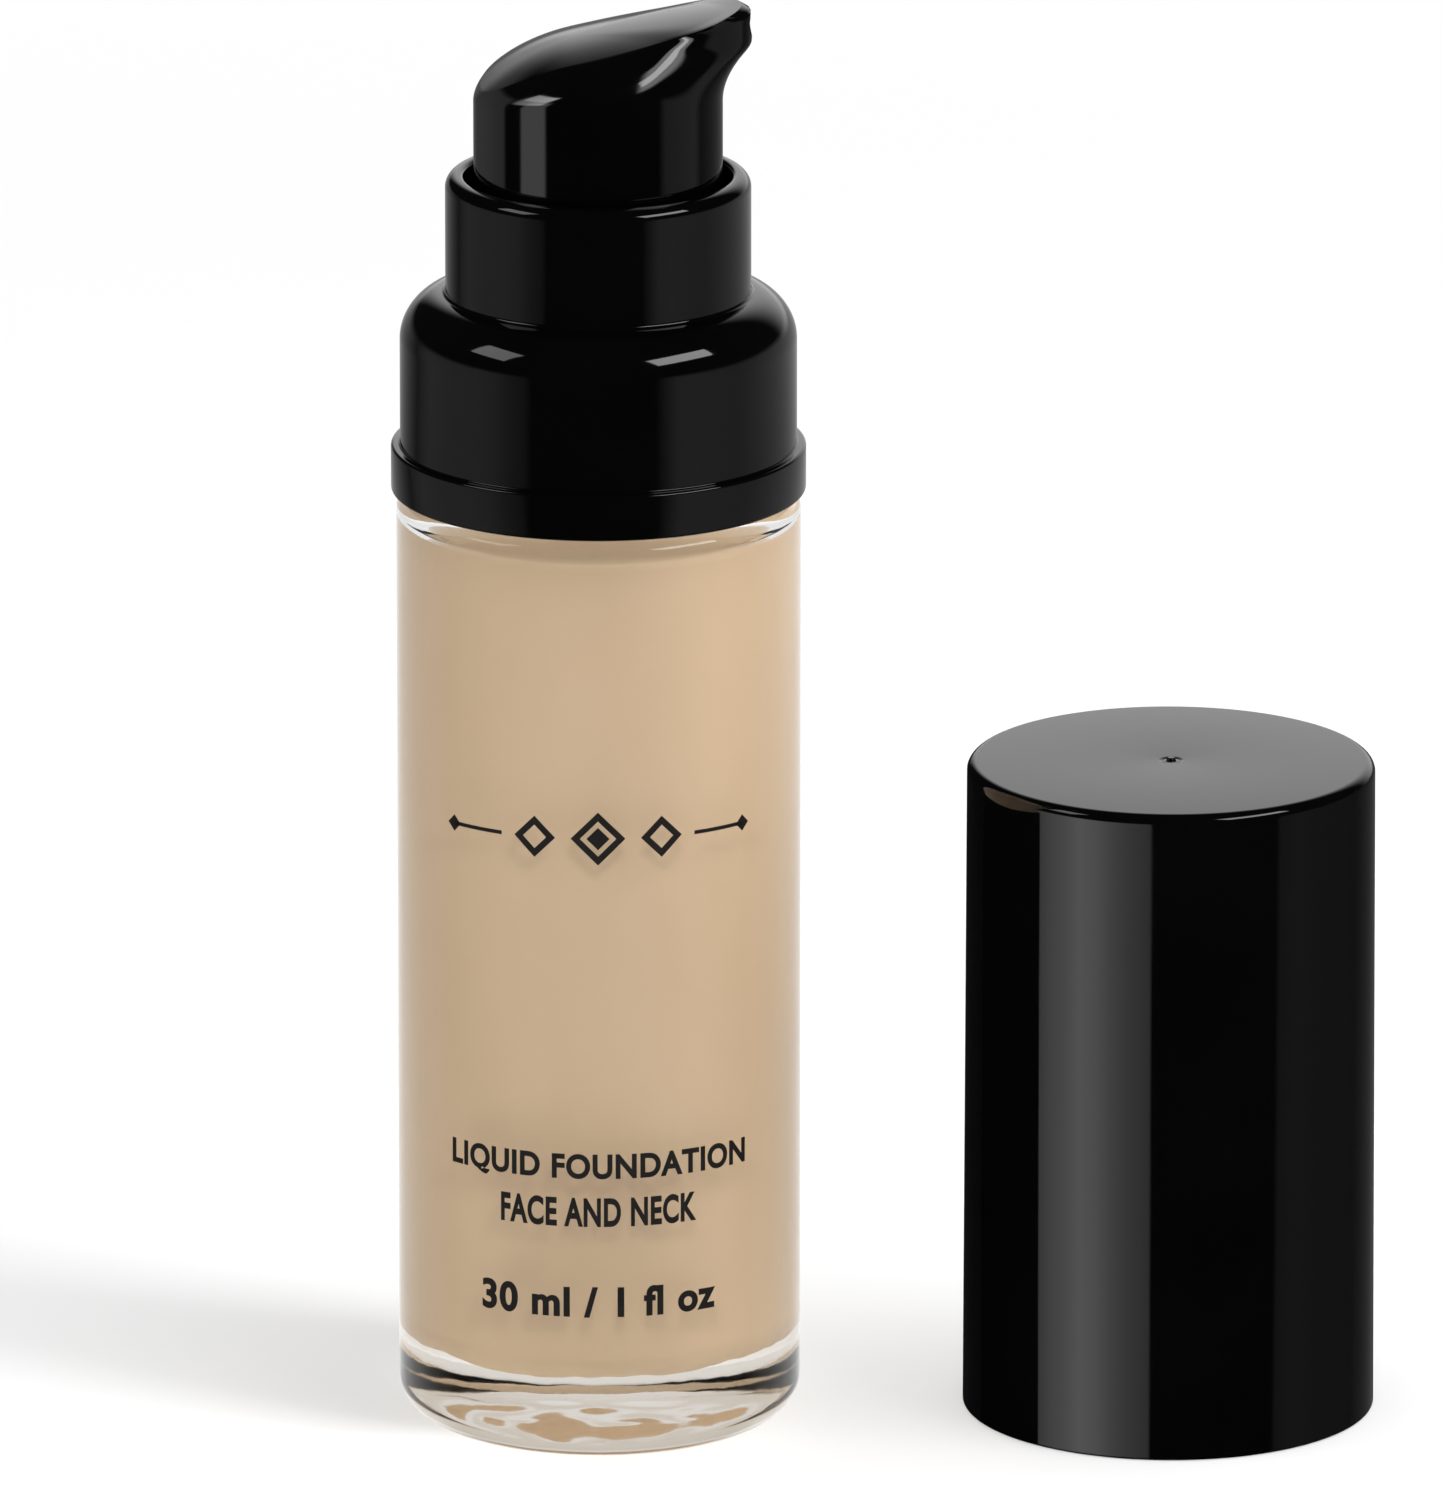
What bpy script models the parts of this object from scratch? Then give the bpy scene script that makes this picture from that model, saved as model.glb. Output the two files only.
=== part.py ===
"""Foundation bottle: glass bottle, cream, treatment pump and overcap, each piece its own object.

The bottle stands on the XY plane with its axis on Z and its spout towards +X. The overcap stands
beside it. Sizes below are millimetres times MM, so the model is in metres.
"""

import math

import bmesh
import bpy
from mathutils import Matrix, Vector

MM = 0.001

# Clearances. Faces that rest on each other are drawn REST_GAP apart, sliding faces RUN_GAP apart.
REST_GAP = 0.3 * MM
RUN_GAP = 0.15 * MM

# Glass bottle.
GLASS_RADIUS = 15.5 * MM
GLASS_WALL = 2.7 * MM
GLASS_FLOOR = 6.0 * MM
GLASS_HEIGHT = 73.4 * MM
HEEL_RADIUS = 3.0 * MM
SHOULDER_EDGE = 1.2 * MM
SHOULDER_WALL = 1.5 * MM
INNER_CORNER = 1.5 * MM
INNER_SHOULDER = 2.5 * MM
NECK_RADIUS = 9.9 * MM
NECK_BORE = 7.3 * MM
NECK_HEIGHT = 9.6 * MM
NECK_FILLET = 0.8 * MM
LIP_EDGE = 0.4 * MM

# Screw thread of the neck and of the closure, right-handed.
THREAD_PITCH = 3.175 * MM
THREAD_TURNS = 1.25
NECK_BEAD = 0.6 * MM
NECK_BEAD_RISE = 1.0 * MM
NECK_THREAD_DROP = 5.4 * MM
CLOSURE_BEAD = 0.7 * MM

# Outer collar: flange, shoulder tier and neck ring in one moulding.
FLANGE_OVERHANG = 0.4 * MM
FLANGE_HEIGHT = 3.6 * MM
TIER_HEIGHT = 12.0 * MM
TIER_ROUND = 4.0 * MM
COLLAR_WALL = 1.5 * MM
RING_HEIGHT = 9.2 * MM
RING_WALL = 1.45 * MM
RING_ROUND = 1.0 * MM
EDGE_ROUND = 0.25 * MM

# Screw closure and gasket.
CLOSURE_TOP = 1.3 * MM
CLOSURE_LIFT = 0.8 * MM
GASKET_THICKNESS = 0.8 * MM

# Pump housing, read downwards from its flange.
HOUSING_FLANGE = 1.2 * MM
HOUSING_FLANGE_RADIUS = 9.5 * MM
CYLINDER_RADIUS = 4.3 * MM
HOUSING_WALL = 1.0 * MM
CYLINDER_DEPTH = 23.6 * MM
SPRING_LEDGE = 1.4 * MM
CHAMBER_RADIUS = 2.0 * MM
CHAMBER_CONE = 1.5 * MM
CHAMBER_DEPTH = 2.9 * MM
SEAT_HOLE = 0.95 * MM
SEAT_CONE = 1.1 * MM
SEAT_LAND = 0.5 * MM
FOOT_WALL = 0.9 * MM
FOOT_DEPTH = 5.0 * MM
BALL_RADIUS = 1.4 * MM
BALL_GAP = 0.1 * MM

# Dip tube and cream.
TUBE_RADIUS = 1.6 * MM
TUBE_BORE = 0.9 * MM
TUBE_FLOOR_GAP = 1.3 * MM
CREAM_BORE_GAP = 0.4 * MM
CREAM_BED = 0.5 * MM

# Stem, piston, piston seat, housing cap and spring.
STEM_RADIUS = 2.7 * MM
STEM_STEP = 0.4 * MM
STEM_BORE = 1.3 * MM
PISTON_HEIGHT = 5.0 * MM
PISTON_LIP = 1.0 * MM
PISTON_WAIST = 0.6 * MM
PISTON_SHIFT = 0.7 * MM
PISTON_SEAT_GAP = 0.4 * MM
SEAT_RADIUS = 3.6 * MM
SEAT_DISC = 1.0 * MM
SEAT_SHANK = 3.0 * MM
GUIDE_PLUG = 2.8 * MM
GUIDE_FLANGE_RADIUS = 6.5 * MM
GUIDE_FLANGE = 0.8 * MM
GUIDE_CHIMNEY_WALL = 1.6 * MM
GUIDE_CHIMNEY = 2.6 * MM
WIRE_RADIUS = 0.3 * MM
SPRING_TURNS = 6.5

# Actuator head. Heights are above the neck ring's top.
HEAD_RADIUS = 9.525 * MM
HEAD_GAP = 0.725 * MM
HEAD_SUNK = 5.0 * MM
HEAD_WALL = 1.3 * MM
LEAN_START_FRONT = 7.7 * MM
LEAN_START_ENDS = 5.8 * MM
CREST_HEIGHT = 10.8 * MM
CREST_SLOPE = 0.236
CREST_CROWN = 0.45 * MM
TAIL_DROOP = 29.0
LEAF_CENTRE = -2.0 * MM
LEAF_WIDTH = 6.2 * MM
TAIL_INSET = 0.625 * MM
SPOUT_REACH = 11.75 * MM
FLARE_SHARE = 0.59
NOSE_SHARE = 0.88
NOSE_ROUND = 0.8 * MM
SOCKET_WALL = 1.2 * MM
SOCKET_DROP = 2.5 * MM
SOCKET_TOP = 3.5 * MM
SKIRT_TOP = 2.5 * MM
RISER_RADIUS = 1.2 * MM
OUTLET_RADIUS = 0.9 * MM
OUTLET_START = 8.1 * MM
OUTLET_END = 11.8 * MM

# Overcap, standing mouth down beside the bottle.
CAP_HEIGHT = 51.5 * MM
CAP_MOUTH_WALL = 0.55 * MM
CAP_MOUTH_GAP = 0.15 * MM
CAP_MOUTH_DEPTH = 9.0 * MM
CAP_WALL = 1.1 * MM
CAP_TOP = 1.5 * MM
CAP_DRAFT = 0.2 * MM
CAP_EDGE = 0.8 * MM
CAP_SNAP_HEIGHT = 2.5 * MM
CAP_SNAP = 0.1 * MM
GATE_DIMPLE = 1.3 * MM
GATE_DEPTH = 0.15 * MM
GATE_NUB = 0.45 * MM
GATE_RISE = 0.35 * MM
CAP_PLACE = (44.0 * MM, 1.5 * MM, 0.0)

# Facets.
WIDE_SIDES = 40
MID_SIDES = 32
SMALL_SIDES = 24
SPRING_STEPS = 12
THREAD_STEPS = 24
MERGE = 0.00001
SMOOTH_ANGLE = math.radians(35)

# Places worked out from the sizes above.
SHOULDER_Z = GLASS_HEIGHT
LIP_Z = SHOULDER_Z + NECK_HEIGHT
INNER_RADIUS = GLASS_RADIUS - GLASS_WALL
INNER_TOP = SHOULDER_Z - SHOULDER_WALL
NECK_BEAD_CENTRE = NECK_RADIUS + NECK_BEAD_RISE - NECK_BEAD
THREAD_START = LIP_Z - NECK_THREAD_DROP
FLANGE_RADIUS = GLASS_RADIUS + FLANGE_OVERHANG
TIER_RADIUS = FLANGE_RADIUS - CAP_MOUTH_WALL - CAP_MOUTH_GAP
COLLAR_BORE = TIER_RADIUS - COLLAR_WALL
FLANGE_Z = SHOULDER_Z + REST_GAP
TIER_Z = FLANGE_Z + FLANGE_HEIGHT
RING_Z = TIER_Z + TIER_HEIGHT
RING_TOP = RING_Z + RING_HEIGHT
RING_BORE = HEAD_RADIUS + HEAD_GAP
RING_RADIUS = RING_BORE + RING_WALL
CLOSURE_RADIUS = COLLAR_BORE - REST_GAP
CLOSURE_BORE = NECK_RADIUS + NECK_BEAD_RISE + REST_GAP
CLOSURE_BEAD_CENTRE = NECK_RADIUS + REST_GAP + CLOSURE_BEAD
GASKET_Z = LIP_Z + REST_GAP
HOUSING_FLANGE_Z = GASKET_Z + GASKET_THICKNESS + REST_GAP
HOUSING_TOP = HOUSING_FLANGE_Z + HOUSING_FLANGE
HOUSING_RADIUS = CYLINDER_RADIUS + HOUSING_WALL
CYLINDER_FLOOR = HOUSING_TOP - CYLINDER_DEPTH
CHAMBER_TOP = CYLINDER_FLOOR - CHAMBER_CONE
CHAMBER_FLOOR = CHAMBER_TOP - CHAMBER_DEPTH
SEAT_Z = CHAMBER_FLOOR - SEAT_CONE
FOOT_TOP = SEAT_Z - SEAT_LAND
FOOT_Z = FOOT_TOP - FOOT_DEPTH
FOOT_BORE = TUBE_RADIUS + REST_GAP
FOOT_RADIUS = FOOT_BORE + FOOT_WALL
CHAMBER_OUTER = CHAMBER_RADIUS + HOUSING_WALL
CLOSURE_CEILING = HOUSING_TOP + REST_GAP
CLOSURE_TOP_Z = CLOSURE_CEILING + CLOSURE_TOP
COLLAR_CEILING = CLOSURE_TOP_Z + REST_GAP
GUIDE_Z = HOUSING_TOP + REST_GAP
GUIDE_BORE = STEM_RADIUS + REST_GAP
GUIDE_PLUG_Z = HOUSING_TOP - GUIDE_PLUG
PISTON_BORE = STEM_RADIUS - STEM_STEP + RUN_GAP
STEM_STEP_Z = GUIDE_PLUG_Z - REST_GAP
PISTON_TOP = STEM_STEP_Z - PISTON_SHIFT - RUN_GAP
PISTON_Z = PISTON_TOP - PISTON_HEIGHT
SEAT_TOP = PISTON_Z - PISTON_SEAT_GAP
SEAT_BOTTOM = SEAT_TOP - SEAT_DISC
SOCKET_TOP_Z = RING_TOP + SOCKET_TOP
STEM_TOP = SOCKET_TOP_Z - REST_GAP
HEAD_Z = RING_TOP - HEAD_SUNK
SPRING_RADIUS = CYLINDER_RADIUS - WIRE_RADIUS - 2.0 * REST_GAP


def clear_scene():
    """Removes every object, so that the script gives the same scene each time."""
    for obj in list(bpy.data.objects):
        bpy.data.objects.remove(obj, do_unlink=True)


def collection(name):
    made = bpy.data.collections.new(name)
    bpy.context.scene.collection.children.link(made)
    return made


def material(name, colour, roughness, metallic=0.0, transmission=0.0):
    made = bpy.data.materials.new(name)
    made.use_nodes = True
    shader = made.node_tree.nodes["Principled BSDF"]
    shader.inputs["Base Color"].default_value = (*colour, 1.0)
    shader.inputs["Roughness"].default_value = roughness
    shader.inputs["Metallic"].default_value = metallic
    shader.inputs["Transmission Weight"].default_value = transmission
    made.diffuse_color = (*colour, 1.0)
    return made


def arc(centre, radius, start, end, count):
    """Points on an arc in the profile plane, from one angle to another in degrees."""
    points = []
    for step in range(count + 1):
        angle = math.radians(start + (end - start) * step / count)
        points.append((centre[0] + radius * math.cos(angle), centre[1] + radius * math.sin(angle)))
    return points


def turned(name, profile, sides, group):
    """A turned solid. The profile runs down its outer side; one that ends off the axis is a loop."""
    mesh = bpy.data.meshes.new(name)
    points = [(radius, 0.0, height) for radius, height in profile]
    edges = [(index, index + 1) for index in range(len(points) - 1)]
    if profile[0][0] > 0.0:
        edges.append((len(points) - 1, 0))
    mesh.from_pydata(points, edges, [])
    obj = bpy.data.objects.new(name, mesh)
    group.objects.link(obj)
    screw = obj.modifiers.new("Turn", "SCREW")
    screw.axis = "Z"
    screw.steps = sides
    screw.render_steps = sides
    screw.use_merge_vertices = True
    screw.merge_threshold = MERGE
    return obj


def settled(obj, paint, moved_by=None):
    """Applies the modifiers, shades the round faces smooth and dresses the piece."""
    graph = bpy.context.evaluated_depsgraph_get()
    mesh = bpy.data.meshes.new_from_object(obj.evaluated_get(graph))
    obj.modifiers.clear()
    obj.data = mesh
    mesh.name = obj.name
    mesh.shade_smooth()
    mesh.set_sharp_from_angle(angle=SMOOTH_ANGLE)
    mesh.materials.clear()
    mesh.materials.append(paint)
    if moved_by is not None:
        obj.parent = moved_by
        obj.matrix_parent_inverse = moved_by.matrix_world.inverted()
    return obj


def cutter(obj):
    """Marks an object as a cutter, which is a guide and not a piece."""
    obj.hide_render = True
    obj.display_type = "WIRE"
    return obj


def boolean(obj, other, operation):
    change = obj.modifiers.new(operation.title() + " " + other.name, "BOOLEAN")
    change.operation = operation
    change.solver = "EXACT"
    change.object = other


def coil(name, radius, wire, start_z, pitch, turns, group, steps=THREAD_STEPS):
    """A wire or thread bead wound round the Z axis, right-handed, as a closed mesh."""
    curve = bpy.data.curves.new(name, "CURVE")
    curve.dimensions = "3D"
    curve.bevel_depth = wire
    curve.bevel_resolution = 2
    curve.use_fill_caps = True
    count = int(round(turns * steps)) + 1
    spline = curve.splines.new("POLY")
    spline.points.add(count - 1)
    for index in range(count):
        angle = 2.0 * math.pi * index / steps
        height = start_z + pitch * index / steps
        spline.points[index].co = (radius * math.cos(angle), radius * math.sin(angle), height, 1.0)
    wound = bpy.data.objects.new(name + "_path", curve)
    group.objects.link(wound)
    graph = bpy.context.evaluated_depsgraph_get()
    mesh = bpy.data.meshes.new_from_object(wound.evaluated_get(graph))
    welded = bmesh.new()
    welded.from_mesh(mesh)
    bmesh.ops.remove_doubles(welded, verts=welded.verts, dist=MERGE)
    bmesh.ops.recalc_face_normals(welded, faces=welded.faces)
    welded.to_mesh(mesh)
    welded.free()
    obj = bpy.data.objects.new(name, mesh)
    obj.matrix_world = wound.matrix_world
    group.objects.link(obj)
    bpy.data.objects.remove(wound, do_unlink=True)
    return obj


def joint_empty(name, place, group):
    """An empty on a joint's axis, which the pieces of that joint's body follow."""
    empty = bpy.data.objects.new(name, None)
    empty.empty_display_size = 5.0 * MM
    empty.location = place
    group.objects.link(empty)
    bpy.context.view_layer.update()
    return empty


def build_glass(group, cutters, paint, body):
    inner_floor_corner = (INNER_RADIUS - INNER_CORNER, GLASS_FLOOR + INNER_CORNER)
    inner_shoulder = (INNER_RADIUS - INNER_SHOULDER, INNER_TOP - INNER_SHOULDER)
    heel = (GLASS_RADIUS - HEEL_RADIUS, HEEL_RADIUS)
    edge = (GLASS_RADIUS - SHOULDER_EDGE, SHOULDER_Z - SHOULDER_EDGE)
    fillet = (NECK_RADIUS + NECK_FILLET, SHOULDER_Z + NECK_FILLET)
    profile = [(0.0, GLASS_FLOOR)]
    profile += arc(inner_floor_corner, INNER_CORNER, -90.0, 0.0, 3)
    profile += arc(inner_shoulder, INNER_SHOULDER, 0.0, 90.0, 4)
    profile += [(NECK_BORE, INNER_TOP + SHOULDER_WALL), (NECK_BORE, LIP_Z - LIP_EDGE)]
    profile += [(NECK_BORE + LIP_EDGE, LIP_Z), (NECK_RADIUS - LIP_EDGE, LIP_Z)]
    profile += [(NECK_RADIUS, LIP_Z - LIP_EDGE)]
    profile += arc(fillet, NECK_FILLET, 180.0, 270.0, 3)
    profile += arc(edge, SHOULDER_EDGE, 90.0, 0.0, 4)
    profile += arc(heel, HEEL_RADIUS, 0.0, -90.0, 6)
    profile += [(0.0, 0.0)]
    glass = turned("glass_bottle", profile, WIDE_SIDES, group)
    bead = coil(
        "neck_thread", NECK_BEAD_CENTRE, NECK_BEAD, THREAD_START, THREAD_PITCH, THREAD_TURNS, cutters
    )
    boolean(glass, cutter(bead), "UNION")
    return settled(glass, paint, body)


def build_cream(group, paint, body):
    """The cream that fills the bottle, with a stepped bore for the housing and the dip tube."""
    radius = INNER_RADIUS - REST_GAP
    bottom = GLASS_FLOOR + REST_GAP
    top = INNER_TOP - REST_GAP
    wide = HOUSING_RADIUS + CREAM_BORE_GAP
    middle = CHAMBER_OUTER + CREAM_BORE_GAP
    narrow = TUBE_RADIUS + CREAM_BORE_GAP
    cone_top = CYLINDER_FLOOR - HOUSING_WALL - REST_GAP
    profile = [(wide, top)]
    profile += arc((radius - INNER_SHOULDER, top - INNER_SHOULDER), INNER_SHOULDER, 90.0, 0.0, 4)
    profile += arc((radius - INNER_CORNER, bottom + INNER_CORNER), INNER_CORNER, 0.0, -90.0, 3)
    profile += [(0.0, bottom), (0.0, bottom + CREAM_BED), (narrow, bottom + CREAM_BED)]
    profile += [(narrow, FOOT_Z - REST_GAP), (middle, FOOT_Z - REST_GAP)]
    profile += [(middle, CHAMBER_TOP - REST_GAP), (wide, cone_top)]
    outer = profile[: profile.index((0.0, bottom)) + 1]
    inner = profile[profile.index((0.0, bottom)) + 1 :]
    cream = turned("cream_fill", inner + outer, MID_SIDES, group)
    return settled(cream, paint, body)


def build_collar(group, paint, body):
    corner = (TIER_RADIUS - TIER_ROUND, RING_Z - TIER_ROUND)
    meet = math.degrees(math.acos((RING_RADIUS - corner[0]) / TIER_ROUND))
    profile = [(RING_BORE, RING_TOP - EDGE_ROUND), (RING_BORE + EDGE_ROUND, RING_TOP)]
    profile += arc((RING_RADIUS - RING_ROUND, RING_TOP - RING_ROUND), RING_ROUND, 90.0, 0.0, 4)
    profile += arc(corner, TIER_ROUND, meet, 0.0, 6)
    profile += [(TIER_RADIUS, TIER_Z)]
    profile += [(FLANGE_RADIUS - EDGE_ROUND, TIER_Z), (FLANGE_RADIUS, TIER_Z - EDGE_ROUND)]
    profile += [(FLANGE_RADIUS, FLANGE_Z + EDGE_ROUND), (FLANGE_RADIUS - EDGE_ROUND, FLANGE_Z)]
    profile += [(COLLAR_BORE, FLANGE_Z), (COLLAR_BORE, COLLAR_CEILING), (RING_BORE, COLLAR_CEILING)]
    return settled(turned("outer_collar", profile, WIDE_SIDES, group), paint, body)


def build_closure(group, cutters, paint, body):
    """The threaded ring. Its bead lies under the neck's bead and pulls up against it."""
    skirt = SHOULDER_Z + CLOSURE_LIFT
    hole = GUIDE_FLANGE_RADIUS + REST_GAP
    profile = [(hole, CLOSURE_TOP_Z), (CLOSURE_RADIUS, CLOSURE_TOP_Z), (CLOSURE_RADIUS, skirt)]
    profile += [(CLOSURE_BORE, skirt), (CLOSURE_BORE, CLOSURE_CEILING), (hole, CLOSURE_CEILING)]
    closure = turned("screw_closure", profile, WIDE_SIDES, group)
    reach = NECK_BEAD + CLOSURE_BEAD + REST_GAP
    drop = math.sqrt(reach**2 - (CLOSURE_BEAD_CENTRE - NECK_BEAD_CENTRE) ** 2)
    bead = coil(
        "closure_thread", CLOSURE_BEAD_CENTRE, CLOSURE_BEAD, THREAD_START - drop, THREAD_PITCH,
        THREAD_TURNS, cutters,
    )
    boolean(closure, cutter(bead), "UNION")
    return settled(closure, paint, body)


def build_gasket(group, paint, body):
    inner = HOUSING_RADIUS + REST_GAP
    top = GASKET_Z + GASKET_THICKNESS
    outer = HOUSING_FLANGE_RADIUS
    profile = [(inner, top), (outer, top), (outer, GASKET_Z), (inner, GASKET_Z)]
    return settled(turned("neck_gasket", profile, MID_SIDES, group), paint, body)


def build_housing(group, paint, body):
    profile = [(CYLINDER_RADIUS, HOUSING_TOP), (HOUSING_FLANGE_RADIUS, HOUSING_TOP)]
    profile += [(HOUSING_FLANGE_RADIUS, HOUSING_FLANGE_Z), (HOUSING_RADIUS, HOUSING_FLANGE_Z)]
    profile += [(HOUSING_RADIUS, CYLINDER_FLOOR - HOUSING_WALL), (CHAMBER_OUTER, CHAMBER_TOP)]
    profile += [(CHAMBER_OUTER, SEAT_Z), (FOOT_RADIUS, FOOT_TOP), (FOOT_RADIUS, FOOT_Z)]
    profile += [(FOOT_BORE, FOOT_Z), (FOOT_BORE, FOOT_TOP), (SEAT_HOLE, FOOT_TOP)]
    profile += [(SEAT_HOLE, SEAT_Z), (CHAMBER_RADIUS, CHAMBER_FLOOR), (CHAMBER_RADIUS, CHAMBER_TOP)]
    profile += [(CYLINDER_RADIUS - SPRING_LEDGE, CYLINDER_FLOOR), (CYLINDER_RADIUS, CYLINDER_FLOOR)]
    return settled(turned("pump_housing", profile, SMALL_SIDES, group), paint, body)


def build_housing_cap(group, paint, body):
    """The chaplet: a plug in the housing's mouth, a flange and a chimney that guides the stem."""
    plug = CYLINDER_RADIUS - RUN_GAP
    chimney = GUIDE_BORE + GUIDE_CHIMNEY_WALL
    flange_top = GUIDE_Z + GUIDE_FLANGE
    top = flange_top + GUIDE_CHIMNEY
    profile = [(GUIDE_BORE, top), (chimney, top), (chimney, flange_top)]
    profile += [(GUIDE_FLANGE_RADIUS, flange_top), (GUIDE_FLANGE_RADIUS, GUIDE_Z), (plug, GUIDE_Z)]
    profile += [(plug, GUIDE_PLUG_Z), (GUIDE_BORE, GUIDE_PLUG_Z)]
    return settled(turned("housing_cap", profile, SMALL_SIDES, group), paint, body)


def build_dip_tube(group, paint, body):
    top = FOOT_TOP - REST_GAP
    bottom = GLASS_FLOOR + TUBE_FLOOR_GAP
    profile = [(TUBE_BORE, top), (TUBE_RADIUS, top), (TUBE_RADIUS, bottom), (TUBE_BORE, bottom)]
    return settled(turned("dip_tube", profile, SMALL_SIDES, group), paint, body)


def build_ball(group, paint, body):
    """The check ball, a hair above its conical seat."""
    slope = math.atan2(SEAT_CONE, CHAMBER_RADIUS - SEAT_HOLE)
    rise = (BALL_RADIUS + BALL_GAP - SEAT_HOLE * math.sin(slope)) / math.cos(slope)
    mesh = bpy.data.meshes.new("check_ball")
    ball = bmesh.new()
    bmesh.ops.create_uvsphere(ball, u_segments=16, v_segments=10, radius=BALL_RADIUS)
    ball.to_mesh(mesh)
    ball.free()
    obj = bpy.data.objects.new("check_ball", mesh)
    obj.location = (0.0, 0.0, SEAT_Z + rise)
    group.objects.link(obj)
    bpy.context.view_layer.update()
    return settled(obj, paint, body)


def build_stem(group, paint, body):
    step = STEM_RADIUS - STEM_STEP
    bottom = SEAT_TOP + REST_GAP
    profile = [(STEM_BORE, STEM_TOP), (STEM_RADIUS, STEM_TOP), (STEM_RADIUS, STEM_STEP_Z)]
    profile += [(step, STEM_STEP_Z), (step, bottom), (STEM_BORE, bottom)]
    return settled(turned("pump_stem", profile, SMALL_SIDES, group), paint, body)


def build_piston_seat(group, paint, body):
    """The plug in the stem's lower end, whose disc closes the piston's inlet."""
    shank = STEM_BORE - RUN_GAP
    profile = [(0.0, SEAT_TOP + SEAT_SHANK), (shank, SEAT_TOP + SEAT_SHANK), (shank, SEAT_TOP)]
    profile += [(SEAT_RADIUS, SEAT_TOP), (SEAT_RADIUS, SEAT_BOTTOM), (0.0, SEAT_BOTTOM)]
    return settled(turned("piston_seat", profile, SMALL_SIDES, group), paint, body)


def build_piston(group, paint, body):
    lip = CYLINDER_RADIUS - RUN_GAP
    waist = lip - PISTON_WAIST
    profile = [(PISTON_BORE, PISTON_TOP), (lip, PISTON_TOP), (waist, PISTON_TOP - PISTON_LIP)]
    profile += [(waist, PISTON_Z + PISTON_LIP), (lip, PISTON_Z), (PISTON_BORE, PISTON_Z)]
    return settled(turned("piston", profile, SMALL_SIDES, group), paint, body)


def build_spring(group, paint, body):
    start = CYLINDER_FLOOR + REST_GAP + WIRE_RADIUS
    end = SEAT_BOTTOM - REST_GAP - WIRE_RADIUS
    pitch = (end - start) / SPRING_TURNS
    wound = coil(
        "return_spring", SPRING_RADIUS, WIRE_RADIUS, start, pitch, SPRING_TURNS, group, SPRING_STEPS
    )
    return settled(wound, paint, body)


def crest(x):
    """Height of the head's top face along its length."""
    droop = TAIL_DROOP * min(0.0, x - LEAF_CENTRE) ** 2
    return RING_TOP + CREST_HEIGHT + CREST_SLOPE * x - droop


def leaf(angle):
    """The outline of the head's top face: an ellipse to the spout, a blunt curve to the tail."""
    along = math.cos(angle)
    across = math.sin(angle)
    if along >= 0.0:
        return LEAF_CENTRE + (SPOUT_REACH - LEAF_CENTRE) * along, LEAF_WIDTH * across
    tail = HEAD_RADIUS - TAIL_INSET + LEAF_CENTRE
    blunt = 2.0 / 3.0
    width = math.copysign(abs(across) ** blunt, across)
    return LEAF_CENTRE - tail * abs(along) ** blunt, LEAF_WIDTH * width


def head_point(angle, share):
    """A point of the head's side, from the cylinder (share 0) to the edge of the top (share 1)."""
    along = math.cos(angle)
    start_z = RING_TOP + LEAN_START_FRONT - (LEAN_START_FRONT - LEAN_START_ENDS) * along**2
    end_x, end_y = leaf(angle)
    rise = crest(end_x) - start_z
    lean_in = 1.0 - math.cos(share * math.pi / 2.0)
    lean_up = math.sin(share * math.pi / 2.0)
    if share < FLARE_SHARE:
        flare = (share / FLARE_SHARE) ** 2
    elif share < NOSE_SHARE:
        flare = 1.0
    else:
        turn = (share - NOSE_SHARE) / (1.0 - NOSE_SHARE)
        back = NOSE_ROUND / (SPOUT_REACH - HEAD_RADIUS)
        flare = 1.0 - back * (1.0 - math.sqrt(max(0.0, 1.0 - turn**2)))
    blend = min(1.0, max(0.0, (along - 0.45) / 0.5))
    blend = blend * blend * (3.0 - 2.0 * blend)
    out = (1.0 - blend) * lean_in + blend * flare
    high = (1.0 - blend) * lean_up + blend * share
    x = HEAD_RADIUS * math.cos(angle)
    y = HEAD_RADIUS * math.sin(angle)
    return Vector((x + (end_x - x) * out, y + (end_y - y) * out, start_z + rise * high))


def head_rings():
    """The rings of the head's outer surface, from its lower edge to the middle of its top."""
    shares = (0.0, 0.12, 0.25, 0.38, 0.5, FLARE_SHARE, 0.7, 0.8, NOSE_SHARE, 0.94, 1.0)
    angles = [2.0 * math.pi * step / WIDE_SIDES for step in range(WIDE_SIDES)]
    rings = []
    rings.append([Vector((HEAD_RADIUS * math.cos(a), HEAD_RADIUS * math.sin(a), HEAD_Z)) for a in angles])
    for share in shares:
        rings.append([head_point(angle, share) for angle in angles])
    for scale in (0.75, 0.5, 0.25):
        ring = []
        for point in rings[len(shares)]:
            x = LEAF_CENTRE + (point.x - LEAF_CENTRE) * scale
            ring.append(Vector((x, point.y * scale, crest(x) + CREST_CROWN * (1.0 - scale**2))))
        rings.append(ring)
    return rings


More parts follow.
